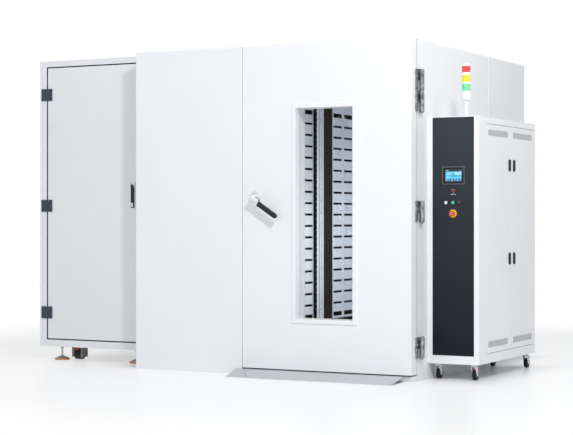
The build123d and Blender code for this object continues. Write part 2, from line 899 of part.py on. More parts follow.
# Machine cabinet door: a double-skinned panel, flush in its frame
with BuildPart() as machine_door:
    slab(
        (machine_opening_x[0] + machine_door_gap, machine_opening_x[1] - machine_door_gap),
        (machine_front, machine_front + machine_door_thickness),
        (machine_opening_z[0] + machine_door_gap, machine_opening_z[1] - machine_door_gap),
    )
    fillet(machine_door.edges().filter_by(Axis.Z).group_by(Axis.Y)[0], machine_door_edge)
keep("machine_door", machine_door.part)

# Machine door hinges: outer knuckles and pin on the frame leaf, middle knuckle on the door leaf
plate_axis = (
    machine_opening_x[0] + machine_door_gap / 2,
    machine_front - plate_knuckle_radius - plate_knuckle_clearance,
)
plate_y = (machine_front - plate_leaf_thickness, machine_front)
knuckle_length = plate_knuckle_share * plate_hinge_height
knuckle_ends = (knuckle_length, plate_hinge_height - knuckle_length)
with BuildPart() as machine_frame_leaves:
    for middle in plate_hinge_heights:
        low = middle - plate_hinge_height / 2
        leaf_edge = plate_axis[0] - plate_leaf_gap
        slab((leaf_edge - plate_leaf_width, leaf_edge), plate_y, (low, low + plate_hinge_height))
        for start, end in ((0, knuckle_ends[0]), (knuckle_ends[1], plate_hinge_height)):
            slab((leaf_edge, plate_axis[0]), plate_y, (low + start, low + end))
            rod(plate_knuckle_radius, (*plate_axis, low + start), end - start, "Z")
        rod(plate_pin_radius, (*plate_axis, low), plate_hinge_height, "Z")
keep("machine_frame_leaves", machine_frame_leaves.part)

with BuildPart() as machine_door_leaves:
    for middle in plate_hinge_heights:
        low = middle - plate_hinge_height / 2
        span = (low + knuckle_ends[0] + seat_gap, low + knuckle_ends[1] - seat_gap)
        leaf_edge = plate_axis[0] + plate_leaf_gap
        slab((leaf_edge, leaf_edge + plate_door_leaf_width), plate_y, (low, low + plate_hinge_height))
        slab((plate_axis[0] + machine_door_gap / 2, leaf_edge), plate_y, span)
        rod(plate_knuckle_radius, (*plate_axis, span[0]), span[1] - span[0], "Z")
        rod(
            plate_pin_radius + running_gap,
            (*plate_axis, span[0]),
            span[1] - span[0],
            "Z",
            Mode.SUBTRACT,
        )
keep("machine_door_leaves", machine_door_leaves.part)

# Lift handle of the machine door: a pan with ears at its top, and the lever on a pin between them
handle_x = machine_opening_x[1] - machine_handle_inset
handle_bottom = machine_handle_middle - machine_handle_height / 2
handle_z = (handle_bottom, handle_bottom + machine_handle_height)
handle_pivot = (machine_front - pan_proud - pivot_proud, handle_z[1] - pivot_from_top)
lever_half = machine_handle_width / 2 - pan_rim
with BuildPart() as machine_handle_pan:
    slab(
        (handle_x - machine_handle_width / 2, handle_x + machine_handle_width / 2),
        (machine_front - pan_proud, machine_front),
        handle_z,
    )
    for side in (-1, 1):
        ear_x = sorted((handle_x + side * lever_half, handle_x + side * machine_handle_width / 2))
        slab(
            ear_x,
            (handle_pivot[0] - ear_radius, machine_front),
            (handle_pivot[1] - ear_radius, handle_z[1]),
        )
    slab(
        (handle_x - lever_half, handle_x + lever_half),
        (machine_front - pan_proud, machine_front - pan_floor),
        (handle_z[0] + pan_rim, handle_z[1] - pan_rim),
        Mode.SUBTRACT,
    )
    rod(
        handle_pin_radius,
        (handle_x - machine_handle_width / 2, *handle_pivot),
        machine_handle_width,
        "X",
    )
keep("machine_handle_pan", machine_handle_pan.part)

with BuildPart() as machine_handle_lever:
    grip_half = lever_half - seat_gap
    rod(
        handle_lever_thickness / 2,
        (handle_x - grip_half, *handle_pivot),
        2 * grip_half,
        "X",
    )
    slab(
        (handle_x - grip_half, handle_x + grip_half),
        (handle_pivot[0] - handle_lever_thickness / 2, handle_pivot[0] + handle_lever_thickness / 2),
        (handle_z[0] + pan_rim + handle_lever_gap, handle_pivot[1]),
    )
    fillet(machine_handle_lever.edges().filter_by(Axis.Z).group_by(Axis.Y)[0], handle_lever_edge)
    rod(
        handle_pin_radius + running_gap,
        (handle_x - grip_half, *handle_pivot),
        2 * grip_half,
        "X",
        Mode.SUBTRACT,
    )
keep("machine_handle_lever", machine_handle_lever.part)

# Two compressors, joined by the interstage line
compressor_x = [left - compressor_inset, left - compressor_inset - compressor_spacing]
compressor_top = machine_floor + compressor_height
with BuildPart() as compressors:
    for x in compressor_x:
        rod(
            compressor_radius,
            (x, compressor_y, machine_floor + compressor_plate),
            compressor_height - compressor_plate,
            "Z",
        )
    fillet(compressors.edges().group_by(Axis.Z)[-1], compressor_dome)
    for x in compressor_x:
        slab(
            (x - compressor_radius, x + compressor_radius),
            (compressor_y - compressor_radius, compressor_y + compressor_radius),
            (machine_floor, machine_floor + compressor_plate),
        )
    rod(
        liquid_radius,
        (compressor_x[1], compressor_y, machine_floor + compressor_height / 2),
        compressor_spacing,
        "X",
    )
keep("compressors", compressors.part)

# Evaporator coil behind the duct wall, with its suction line to the first compressor
coil_x = (inside_left + liner + coil_from_liner, inside_left + liner + coil_from_liner + coil_width)
coil_middle_y = fan_y + coil_behind_fan
coil_y = (coil_middle_y - coil_depth / 2, coil_middle_y + coil_depth / 2)
coil_z = (coil_bottom, coil_bottom + coil_height)
with BuildPart() as evaporator_coil:
    slab(coil_x, (coil_y[0] + fin_proud, coil_y[1] - fin_proud), coil_z)
    with Locations(((coil_x[0] + coil_x[1]) / 2, coil_middle_y, coil_bottom + coil_height / 2)):
        with GridLocations(coil_width / coil_fins, 1, coil_fins, 1):
            Box(fin_thickness, coil_depth, coil_height)
    for x in (coil_x[0] - end_plate, coil_x[1]):
        slab((x, x + end_plate), coil_y, (floor_thickness + liner, coil_z[1] + fin_proud))
    with BuildLine():
        FilletPolyline(
            (coil_x[0] - end_plate, compressor_y, suction_z),
            (compressor_x[0], compressor_y, suction_z),
            (compressor_x[0], compressor_y, compressor_top),
            radius=suction_bend,
        )
    with BuildSketch(Plane(origin=(coil_x[0] - end_plate, compressor_y, suction_z), z_dir=(-1, 0, 0))):
        Circle(suction_radius)
    sweep()
    rod(
        liquid_radius,
        (condenser_x[1], liquid_y, liquid_z),
        coil_x[0] - end_plate - condenser_x[1],
        "X",
    )
keep("evaporator_coil", evaporator_coil.part)

# Condenser with its fan shroud, the fan's motor on a spider, and four legs
condenser_y = machine_back - machine_sheet - condenser_from_back
shroud_back = condenser_y + condenser_core + shroud_depth
condenser_height_middle = condenser_middle[1]
with BuildPart() as condenser_unit:
    slab(condenser_x, (condenser_y, condenser_y + condenser_core), condenser_z)
    with Locations((condenser_middle[0], condenser_y, condenser_height_middle)):
        with GridLocations((condenser_x[1] - condenser_x[0]) / condenser_fins, 1, condenser_fins, 1):
            Box(fin_thickness, 2 * fin_proud, condenser_height)
    slab(condenser_x, (condenser_y + condenser_core, shroud_back), condenser_z)
    rod(
        shroud_radius,
        (condenser_middle[0], condenser_y + condenser_core, condenser_height_middle),
        shroud_depth,
        "Y",
        Mode.SUBTRACT,
    )
    slab(
        condenser_x,
        (shroud_back, shroud_back + spider_thickness),
        (condenser_height_middle - spider_width / 2, condenser_height_middle + spider_width / 2),
    )
    rod(
        fan_motor_radius,
        (condenser_middle[0], shroud_back, condenser_height_middle),
        fan_motor_length,
        "Y",
    )
    rod(
        axial_shaft_radius + running_gap,
        (condenser_middle[0], shroud_back, condenser_height_middle),
        fan_motor_length - spider_thickness,
        "Y",
        Mode.SUBTRACT,
    )
    for x in (condenser_x[0], condenser_x[1] - leg_size):
        for y in (condenser_y, shroud_back - leg_size):
            slab((x, x + leg_size), (y, y + leg_size), (machine_floor, condenser_bottom))
keep("condenser_unit", condenser_unit.part)

# Condenser fan: five pitched blades on a hub
axial_middle = condenser_y + condenser_core + shroud_depth / 2
axial_plane = Plane(
    origin=(condenser_middle[0], axial_middle, condenser_height_middle), x_dir=(1, 0, 0), z_dir=(0, 1, 0)
)
blade_reach = axial_radius - axial_hub_radius + axial_shaft_radius
with BuildPart(axial_plane) as condenser_fan:
    Cylinder(axial_hub_radius, axial_hub_depth)
    with PolarLocations(axial_radius - blade_reach / 2, axial_blades):
        Box(blade_reach, axial_blade_width, axial_blade_thickness, rotation=(axial_pitch, 0, 0))
    Cylinder(
        axial_shaft_radius,
        shroud_depth / 2 + fan_motor_length - 2 * spider_thickness,
        align=on_base,
    )
keep("condenser_fan", condenser_fan.part)

# Levelling feet of the machine cabinet: ringed cone pads on threaded stems
foot_x = (machine_left + foot_inset_left, left - foot_inset_right)
foot_y = (machine_front + foot_setback, machine_back - foot_setback)
with BuildPart() as levelling_feet:
    for x in foot_x:
        for y in foot_y:
            rod(foot_pad_radius, (x, y, 0), foot_ring_height, "Z")
            with Locations((x, y, (foot_ring_height + foot_pad_height) / 2)):
                Cone(foot_pad_radius, foot_neck_radius, foot_pad_height - foot_ring_height)
            rod(foot_stem_radius, (x, y, foot_pad_height), machine_bottom - foot_pad_height, "Z")
            rod(
                foot_collar_radius,
                (x, y, machine_bottom - foot_nut_height),
                foot_nut_height,
                "Z",
            )
            with BuildSketch(Plane.XY.offset(machine_bottom - 2 * foot_nut_height)):
                with Locations((x, y)):
                    RegularPolygon(foot_nut_radius, 6)
            extrude(amount=foot_nut_height)
keep("levelling_feet", levelling_feet.part)

# Jack casters beside the feet: a cast fork housing round a wheel, with its lever in the window
jack_x = (machine_left + jack_caster_inset, left - jack_caster_inset)
jack_y = (machine_front + jack_caster_setback, machine_back - jack_caster_setback)
jack_lever_z = 2 * jack_wheel_radius - jack_lever_overlap
with BuildPart() as machine_casters:
    for x in jack_x:
        for y in jack_y:
            slab(
                (x - jack_width / 2, x + jack_width / 2),
                (y - jack_depth / 2, y + jack_depth / 2),
                (jack_bottom, machine_bottom),
            )
            slab(
                (x - jack_width / 2 + jack_cheek, x + jack_width / 2 - jack_cheek),
                (y - jack_depth / 2, y + jack_depth / 2),
                (jack_bottom, machine_bottom - jack_plate),
                Mode.SUBTRACT,
            )
            rod(
                jack_wheel_radius,
                (x - jack_width / 2 + jack_cheek, y, jack_wheel_radius),
                jack_width - 2 * jack_cheek,
                "X",
            )
            slab(
                (x - jack_lever / 2, x + jack_lever / 2),
                (y - jack_depth / 2, y),
                (jack_lever_z, jack_lever_z + jack_lever_overlap + jack_lever),
            )
keep("machine_casters", machine_casters.part)

# Control cabinet casing: an opening for the panel in front, two door openings on its side
control_right = right + control_width
control_front = front + control_setback
control_back = control_front + control_depth
panel_x = (right + panel_side_margin, control_right - panel_side_margin)
panel_z = (control_bottom + panel_bottom_margin, control_top - panel_top_margin)
side_y = (control_front + side_frame_front, control_back - side_frame_rear)
side_z = (control_bottom + side_frame_bottom, control_top - side_frame_top)
side_seam = (side_y[0] + side_y[1]) / 2
side_stop = control_right - side_door_thickness - side_door_gap
door_bays = ((side_y[0], side_seam), (side_seam, side_y[1]))
pivot_x = control_right - pivot_inset
pivot_y = (side_y[0] + side_door_gap + pivot_inset, side_y[1] - side_door_gap - pivot_inset)
caster_x = (right + caster_inset_x, control_right - caster_inset_x)
caster_y = (control_front + caster_inset_y, control_back - caster_inset_y)
with BuildPart() as control_casing:
    slab((right, control_right), (control_front, control_back), (control_bottom, control_top))
    slab(
        (right + control_sheet, control_right - side_frame_depth),
        (control_front + control_sheet, control_back - control_sheet),
        (control_bottom + control_sheet, control_top - control_sheet),
        Mode.SUBTRACT,
    )
    slab(
        (panel_x[0] - seat_gap, panel_x[1] + seat_gap),
        (control_front, control_front + control_sheet),
        (panel_z[0] - seat_gap, panel_z[1] + seat_gap),
        Mode.SUBTRACT,
    )
    slab((side_stop, control_right), side_y, side_z, Mode.SUBTRACT)
    for bay in door_bays:
        slab(
            (control_right - side_frame_depth, side_stop),
            (bay[0] + side_lip, bay[1] - side_lip),
            (side_z[0] + side_lip, side_z[1] - side_lip),
            Mode.SUBTRACT,
        )
    for y in pivot_y:
        for z in (side_z[0] - pivot_length, side_z[1]):
            rod(pivot_radius + running_gap, (pivot_x, y, z), pivot_length, "Z", Mode.SUBTRACT)
    for x in caster_x:
        for y in caster_y:
            rod(kingpin_boss_radius, (x, y, control_bottom), kingpin_length + control_sheet, "Z")
            rod(
                kingpin_radius + running_gap,
                (x, y, control_bottom),
                kingpin_length,
                "Z",
                Mode.SUBTRACT,
            )
keep("control_casing", control_casing.part)

# Control panel plate, cut out for its instruments and switches
panel_face = control_front - panel_proud
screen_place = (right + screen_centre[0], screen_centre[1])
limiter_place = (right + limiter_centre[0], limiter_centre[1])
switch_places = [(right + x, switch_height) for x in (white_from_left, green_from_left, selector_from_left)]
stop_place = (right + stop_centre[0], stop_centre[1])
panel_plane = Plane.XZ.offset(-panel_face)
screen_body_size = (screen_size[0] - 2 * bezel_lap, screen_size[1] - 2 * bezel_lap)
limiter_body_size = limiter_size - 2 * bezel_lap
with BuildPart() as control_panel:
    with BuildSketch(panel_plane):
        with Locations(((panel_x[0] + panel_x[1]) / 2, (panel_z[0] + panel_z[1]) / 2)):
            Rectangle(panel_x[1] - panel_x[0], panel_z[1] - panel_z[0])
        with Locations(screen_place):
            Rectangle(*screen_body_size, mode=Mode.SUBTRACT)
        with Locations(limiter_place):
            Rectangle(limiter_body_size, limiter_body_size, mode=Mode.SUBTRACT)
        with Locations(*switch_places, stop_place):
            Circle(barrel_radius, mode=Mode.SUBTRACT)
    extrude(amount=-panel_thickness)
keep("control_panel", control_panel.part)

# Touch screen: a bezel over the panel, a sunken screen and the body behind
with BuildPart() as hmi:
    with BuildSketch(panel_plane):
        with Locations(screen_place):
            RectangleRounded(*screen_size, bezel_radius)
    extrude(amount=bezel_proud)
    with BuildSketch(panel_plane.offset(bezel_proud)):
        with Locations(screen_place):
            Rectangle(screen_size[0] - 2 * screen_border, screen_size[1] - 2 * screen_border)
    extrude(amount=-screen_sunk, mode=Mode.SUBTRACT)
    with BuildSketch(panel_plane):
        with Locations(screen_place):
            Rectangle(*screen_body_size)
    extrude(amount=-screen_body)
keep("hmi", hmi.part)

# Temperature limiter: a square controller with a display window and a row of four keys
with BuildPart() as temperature_limiter:
    with BuildSketch(panel_plane):
        with Locations(limiter_place):
            RectangleRounded(limiter_size, limiter_size, bezel_radius)
    extrude(amount=bezel_proud)
    with BuildSketch(panel_plane.offset(bezel_proud)):
        with Locations((limiter_place[0], limiter_place[1] + limiter_window_up)):
            Rectangle(limiter_window_width, limiter_window_height)
    extrude(amount=-screen_sunk, mode=Mode.SUBTRACT)
    with BuildSketch(panel_plane.offset(bezel_proud)):
        with Locations((limiter_place[0], limiter_place[1] - limiter_keys_down)):
            with GridLocations(limiter_key_pitch, 1, limiter_keys, 1):
                Rectangle(limiter_key_width, limiter_key_height)
    extrude(amount=key_proud)
    with BuildSketch(panel_plane):
        with Locations(limiter_place):
            Rectangle(limiter_body_size, limiter_body_size)
    extrude(amount=-limiter_body)
keep("temperature_limiter", temperature_limiter.part)

# Collars and barrels of the switches, with the broad ring of the emergency stop
with BuildPart() as switch_collars:
    with BuildSketch(panel_plane):
        with Locations(*switch_places):
            Circle(collar_radius)
        with Locations(stop_place):
            Circle(stop_ring_radius)
    extrude(amount=stop_ring_height)
    with BuildSketch(panel_plane):
        with Locations(*switch_places):
            Circle(collar_radius)
        with Locations(stop_place):
            Circle(stop_boss_radius)
    extrude(amount=collar_height)
    with BuildSketch(panel_plane):
        with Locations(*switch_places, stop_place):
            Circle(barrel_radius)
    extrude(amount=-barrel_length)
    with BuildSketch(panel_plane.offset(collar_floor)):
        with Locations(*switch_places):
            Circle(cap_radius + running_gap)
    extrude(amount=collar_height - collar_floor, mode=Mode.SUBTRACT)
    with BuildSketch(panel_plane.offset(collar_height)):
        with Locations(*switch_places, stop_place):
            Circle(stem_radius + running_gap)
    extrude(amount=-(collar_height + barrel_length), mode=Mode.SUBTRACT)
keep("switch_collars", switch_collars.part)

# Two lit push buttons
cap_back = collar_floor + button_travel + seat_gap
for name, place in (("button_white", switch_places[0]), ("button_green", switch_places[1])):
    with BuildPart() as button:
        with BuildSketch(panel_plane.offset(cap_back)):
            with Locations(place):
                Circle(cap_radius)
        extrude(amount=cap_height)
        chamfer(button.faces().sort_by(Axis.Y)[0].edges(), cap_chamfer)
        with BuildSketch(panel_plane.offset(cap_back)):
            with Locations(place):
                Circle(stem_radius)
        extrude(amount=-(cap_back + barrel_length - button_travel - pin_end_play))
    keep(name, button.part)

# Selector switch: a round base with a finger bar across it
with BuildPart() as selector_switch:
    with BuildSketch(panel_plane.offset(collar_floor + seat_gap)):
        with Locations(switch_places[2]):
            Circle(cap_radius)
    extrude(amount=cap_height)
    with BuildSketch(panel_plane.offset(collar_floor + seat_gap + cap_height)):
        with Locations(switch_places[2]):
            SlotOverall(selector_bar_length, selector_bar_width, rotation=90)
    extrude(amount=selector_bar_height)
    with BuildSketch(panel_plane.offset(collar_floor + seat_gap)):
        with Locations(switch_places[2]):
            Circle(stem_radius)
    extrude(amount=-(collar_floor + barrel_length - pin_end_play))
keep("selector_switch", selector_switch.part)

# Emergency stop mushroom
with BuildPart() as emergency_stop:
    with BuildSketch(panel_plane.offset(collar_height + stop_travel + seat_gap)):
        with Locations(stop_place):
            Circle(stop_head_radius)
    extrude(amount=stop_head_height)
    fillet(emergency_stop.faces().sort_by(Axis.Y)[0].edges(), stop_head_edge)
    with BuildSketch(panel_plane.offset(collar_height + stop_travel + seat_gap)):
        with Locations(stop_place):
            Circle(stem_radius)
    extrude(amount=-(collar_height + barrel_length - pin_end_play))
keep("emergency_stop", emergency_stop.part)

# Stack light: body with pole, base, dividers and cap, and three lenses
stack_place = (right + stack_from_left, control_front + stack_from_front)
with BuildPart() as stack_body:
    with Locations((*stack_place, control_top)):
        Cylinder(stack_flange_radius, stack_flange, align=on_base)
        Cylinder(stack_pole_radius, stack_base_bottom, align=on_base)
    with Locations((*stack_place, control_top + stack_base_bottom)):
        Cylinder(stack_radius, stack_top - stack_base_bottom, align=on_base)
    fillet(stack_body.edges().group_by(Axis.Z)[-1], stack_cap_radius)
    for low, high in stack_lens_heights:
        with BuildSketch(Plane.XY.offset(control_top + low)):
            with Locations(stack_place):
                Circle(stack_radius + seat_gap)
                Circle(stack_core_radius, mode=Mode.SUBTRACT)
        extrude(amount=high - low, mode=Mode.SUBTRACT)
keep("stack_body", stack_body.part)

with BuildPart() as stack_lenses:
    for low, high in stack_lens_heights:
        with BuildSketch(Plane.XY.offset(control_top + low)):
            with Locations(stack_place):
                Circle(stack_radius)
                Circle(stack_core_radius + seat_gap, mode=Mode.SUBTRACT)
        extrude(amount=high - low)
keep("stack_lenses", stack_lenses.part)

# Mounting plate inside the control cabinet, with ducts, rows of devices, an inverter and a transformer
plate_x = right + control_sheet + plate_spacer
plate_y = (control_front + plate_margin, control_back - plate_margin)
plate_z = (control_bottom + 2 * plate_margin, control_top - 2 * plate_margin)
plate_middle = ((plate_y[0] + plate_y[1]) / 2, (plate_z[0] + plate_z[1]) / 2)
plate_width = plate_y[1] - plate_y[0]
plate_height = plate_z[1] - plate_z[0]
plate_plane = Plane(origin=(plate_x, *plate_middle), x_dir=(0, 1, 0), z_dir=(1, 0, 0))
with BuildPart(plate_plane) as mounting_plate:
    Box(plate_width, plate_height, plate_sheet, align=on_base)
    with GridLocations(plate_width - plate_margin, plate_height - plate_margin, 2, 2):
        Cylinder(plate_spacer_radius, plate_spacer, align=(Align.CENTER, Align.CENTER, Align.MAX))
    with GridLocations(1, device_row_pitch, 1, device_rows + 1):
        Box(device_row_length, duct_size, duct_size + plate_sheet, align=on_base)
    with GridLocations(device_pitch, device_row_pitch, device_columns, device_rows):
        Box(device_width, device_height, device_depth + plate_sheet, align=on_base)
keep("mounting_plate", mounting_plate.part)

# Side doors on hidden pivot pins, each with a fine vent at its top and bottom and two lock holes
lock_y = (side_seam - lock_from_seam, side_seam + lock_from_seam)
for name, hinge_edge, hinge_sign, vent_from_edge, vent_width in (
    ("front", side_y[0] + side_door_gap, 1, front_vent_from_edge, front_vent_width),
    ("rear", side_y[1] - side_door_gap, -1, rear_vent_from_edge, rear_vent_width),
):
    seam_edge = side_seam - hinge_sign * side_door_gap / 2
    vent_middle = hinge_edge + hinge_sign * (vent_from_edge + vent_width / 2)
    vent_slots = int(vent_width / vent_slot_pitch)
    pin_y = hinge_edge + hinge_sign * pivot_inset
    door_z = (side_z[0] + side_door_gap, side_z[1] - side_door_gap)
    pin_reach = pivot_length + side_door_gap - pin_end_play
    with BuildPart() as side_door:
        slab(
            (control_right - side_door_thickness, control_right),
            sorted((hinge_edge, seam_edge)),
            door_z,
        )
        fillet(side_door.edges().filter_by(Axis.Z).group_by(Axis.X)[-1], side_door_edge)
        for z in (door_z[0] - pin_reach, door_z[1]):
            rod(pivot_radius, (pivot_x, pin_y, z), pin_reach, "Z")
        for z in (door_z[0] + vent_margin + vent_height / 2, door_z[1] - vent_margin - vent_height / 2):
            with BuildSketch(Plane.YZ.offset(control_right)):
                with Locations((vent_middle, z)):
                    Rectangle(vent_width, vent_height)
            extrude(amount=-vent_sunk, mode=Mode.SUBTRACT)
            with BuildSketch(Plane.YZ.offset(control_right)):
                with Locations((vent_middle, z)):
                    with GridLocations(vent_slot_pitch, 1, vent_slots, 1):
                        Rectangle(vent_slot_pitch / 2, vent_height - vent_slot_pitch)
            extrude(amount=-side_door_thickness, mode=Mode.SUBTRACT)
        for z in lock_heights:
            rod(
                lock_spindle_radius + running_gap,
                (control_right - side_door_thickness, side_seam - hinge_sign * lock_from_seam, z),
                side_door_thickness,
                "X",
                Mode.SUBTRACT,
            )
    keep(f"side_door_{name}", side_door.part)

# Quarter-turn locks of the side doors: an oval grip outside, a spindle and a cam inside
for bay_name, y in (("front", lock_y[0]), ("rear", lock_y[1])):
    for level, z in (("lower", lock_heights[0]), ("upper", lock_heights[1])):
        lock_plane = Plane(origin=(control_right, y, z), x_dir=(0, 1, 0), z_dir=(1, 0, 0))
        with BuildPart() as side_lock:
            with BuildSketch(lock_plane.offset(seat_gap)):
                RectangleRounded(lock_width, lock_height, lock_corner)
            extrude(amount=lock_grip_height)
            fillet(side_lock.faces().sort_by(Axis.X)[-1].edges(), lock_edge)
            with BuildSketch(lock_plane.offset(seat_gap)):
                Circle(lock_spindle_radius)
            extrude(amount=-(lock_reach + seat_gap))
            with BuildSketch(lock_plane.offset(-lock_reach)):
                with Locations((0, -cam_length / 2)):
                    Rectangle(2 * lock_spindle_radius, cam_length + 2 * lock_spindle_radius)
            extrude(amount=-cam_thickness)
        keep(f"side_lock_{bay_name}_{level}", side_lock.part)

# Swivel casters under the control cabinet: the fork with kingpin, axle and brake pedal, and the wheel
fork_top = control_bottom - seat_gap
for side_name, x in (("left", caster_x[0]), ("right", caster_x[1])):
    for end_name, y in (("front", caster_y[0]), ("rear", caster_y[1])):
        axle = (y + caster_trail, caster_wheel_radius)
        cheek_x = caster_wheel_width / 2 + cheek_clearance
        with BuildPart() as fork:
            rod(fork_head_radius, (x, y, fork_top - fork_head_height), fork_head_height, "Z")
            rod(kingpin_radius, (x, y, fork_top), kingpin_length + seat_gap - pin_end_play, "Z")
            for cheek in (x - cheek_x - cheek_thickness, x + cheek_x):
                with BuildSketch(Plane.YZ.offset(cheek)):
                    with BuildLine():
                        Polyline(
                            (y - fork_head_radius, fork_top - fork_head_height),
                            (axle[0] - cheek_foot, axle[1]),
                            (axle[0] + cheek_foot, axle[1]),
                            (y + fork_head_radius + caster_trail / 2, fork_top - fork_head_height),
                            close=True,
                        )
                    make_face()
                    with Locations(axle):
                        Circle(cheek_foot)
                extrude(amount=cheek_thickness)
            slab(
                (x - cheek_x - cheek_thickness, x + cheek_x + cheek_thickness),
                (y - fork_head_radius, y + fork_head_radius + caster_trail / 2),
                (fork_top - fork_head_height, fork_top - fork_head_height + cheek_thickness),
            )
            with BuildSketch(Plane.YZ.offset(x - pedal_width / 2)):
                with BuildLine():
                    Polyline(
                        (y + fork_head_radius, fork_top - fork_head_height),
                        (axle[0] + pedal_reach, axle[1] + pedal_lift),
                        (axle[0] + pedal_reach, axle[1] + pedal_lift + pedal_thickness),
                        (y + fork_head_radius, fork_top - fork_head_height + pedal_thickness),
                        close=True,
                    )
                make_face()
            extrude(amount=pedal_width)
            rod(
                caster_axle_radius,
                (x - cheek_x - cheek_thickness, *axle),
                2 * (cheek_x + cheek_thickness),
                "X",
            )
        keep(f"caster_fork_{side_name}_{end_name}", fork.part)

        with BuildPart() as wheel:
            rod(caster_wheel_radius, (x - caster_wheel_width / 2, *axle), caster_wheel_width, "X")
            fillet(wheel.edges().filter_by(GeomType.CIRCLE), tread_radius)
            rod(
                caster_axle_radius + running_gap,
                (x - caster_wheel_width / 2, *axle),
                caster_wheel_width,
                "X",
                Mode.SUBTRACT,
            )
        keep(f"caster_wheel_{side_name}_{end_name}", wheel.part)

os.makedirs("parts", exist_ok=True)
for piece in all_parts.values():
    export_step(piece, f"parts/{piece.label}.step")
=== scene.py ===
import math

import bmesh
import bpy
from mathutils import Matrix, Vector


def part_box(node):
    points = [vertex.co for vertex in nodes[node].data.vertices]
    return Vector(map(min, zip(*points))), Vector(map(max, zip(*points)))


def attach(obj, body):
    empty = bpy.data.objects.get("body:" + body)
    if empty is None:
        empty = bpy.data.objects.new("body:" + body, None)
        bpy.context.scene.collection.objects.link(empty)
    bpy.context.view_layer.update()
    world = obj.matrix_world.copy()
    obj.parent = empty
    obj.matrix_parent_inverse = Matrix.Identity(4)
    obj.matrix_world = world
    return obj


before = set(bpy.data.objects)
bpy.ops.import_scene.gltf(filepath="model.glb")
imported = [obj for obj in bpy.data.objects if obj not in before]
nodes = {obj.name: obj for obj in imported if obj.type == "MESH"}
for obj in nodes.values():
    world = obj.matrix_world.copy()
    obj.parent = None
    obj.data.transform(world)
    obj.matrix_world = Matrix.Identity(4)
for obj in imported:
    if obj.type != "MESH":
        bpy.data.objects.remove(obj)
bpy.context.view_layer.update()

# View of the photograph, in metres and degrees, worked out from its perspective
CAMERA_PLACE = (5.745, -11.811, 1.196)
CAMERA_YAW = 27.79
CAMERA_LENS = 99.8

# Colours, as linear values
WHITE_PAINT = (0.83, 0.84, 0.855)
GREY_PAINT = (0.79, 0.80, 0.815)
RAMP_WHITE = (0.51, 0.52, 0.54)
PANEL_LOW = (0.011, 0.014, 0.019)
# Painted reflection: the colour the dark panel lightens to at its top
PANEL_TOP_REFLECTION = (0.040, 0.045, 0.056)
MATT_STEEL = (0.68, 0.71, 0.76)
CHROME = (0.70, 0.70, 0.72)
HINGE_STEEL = (0.34, 0.35, 0.37)
COLLAR_STEEL = (0.12, 0.12, 0.13)
WIRE_STEEL = (0.85, 0.86, 0.88)
ZINC = (0.46, 0.47, 0.46)
ALUMINIUM = (0.62, 0.63, 0.65)
COPPER = (0.80, 0.38, 0.20)
# Painted shade behind the duct wall
DUCT_SHADE = (0.09, 0.095, 0.10)
# Painted shade in the side doors' vent slots
SLOT_SHADE = (0.20, 0.205, 0.21)
SLATE = (0.050, 0.064, 0.085)
CAST = (0.030, 0.032, 0.035)
NEAR_BLACK = (0.010, 0.010, 0.012)
GRIP_BLACK = (0.022, 0.023, 0.026)
BEZEL_BLACK = (0.012, 0.013, 0.016)
RACK_BLACK_AND_SHADE = (0.006, 0.006, 0.007)
MARK_AND_RECESS_SHADE_BLACK = (0.008, 0.008, 0.009)
SCREW_BLACK = (0.012, 0.013, 0.016)
GASKET = (0.012, 0.012, 0.014)
BAND_BROWN = (0.012, 0.009, 0.006)
WHITE_PLASTIC = (0.82, 0.84, 0.85)
JACK_GREY = (0.32, 0.31, 0.30)
FORK_GREY = (0.66, 0.67, 0.68)
FOOT_GREY = (0.36, 0.37, 0.38)
FOOT_ORANGE = (0.62, 0.20, 0.05)
DEVICE_GREY = (0.30, 0.32, 0.34)
DEVICE_BLUE = (0.03, 0.09, 0.28)
LENS_GREEN = (0.16, 0.70, 0.34)
LENS_AMBER = (0.93, 0.68, 0.01)
LENS_RED = (0.80, 0.045, 0.03)
CAP_WHITE = (0.80, 0.83, 0.80)
CAP_GREEN = (0.04, 0.50, 0.22)
KEY_TEAL = (0.55, 0.72, 0.70)
STOP_RED = (0.62, 0.018, 0.012)
STOP_YELLOW = (0.85, 0.55, 0.02)
PEDAL_RED = (0.70, 0.10, 0.03)
GLASS_CLEAR = (0.985, 0.995, 0.995)
GLASS_DARK = (0.02, 0.02, 0.02)
UNLIT = (0.01, 0.01, 0.012)
FLOOR_PALE = (0.90, 0.905, 0.91)
AMBIENT_WHITE = (0.95, 0.97, 1.0)
PLAIN_WHITE = (1.0, 1.0, 1.0)

# Lit colours, each as the two that it wanders between
LIT_DEEP = ((0.005, 0.05, 0.30), (0.0, 0.12, 0.55))
LIT_BAR = ((0.004, 0.01, 0.03), (0.006, 0.02, 0.05))
LIT_CYAN = ((0.02, 0.50, 0.85), (0.10, 0.85, 0.80))
LIT_SKY = ((0.04, 0.55, 0.95), (0.30, 0.80, 0.98))
LIT_WHITE = ((0.85, 0.95, 1.0), (0.95, 1.0, 1.0))
LIT_ORANGE = ((0.95, 0.16, 0.02), (0.95, 0.25, 0.04))
LIT_TEAL = ((0.20, 0.75, 0.60), (0.35, 0.85, 0.75))

# What the materials share
NOISE_RANGE = (0.3, 0.7)
BROAD_DETAIL = 3.0
FINE_DETAIL = 2.0
GLOSS_SPREAD = 0.12
BUMP_DEPTH = 0.001
GLOW_SCALE = 18.0
GLOW_ROUGHNESS = 0.2
SMEAR_SCALE = 9.0
SMEAR_GLOSS = (0.02, 0.05)
GLASS_SLANT_POWER = 5.0
GLASS_SLANT_MIRROR = 0.96
GLASS_PLAIN_MIRROR = 0.008


def feed(tree, socket, value):
    """Gives a socket a number, a colour or what another socket says."""
    if isinstance(value, tuple):
        socket.default_value = (*value, 1.0)
    elif isinstance(value, (int, float)):
        socket.default_value = value
    else:
        tree.links.new(value, socket)


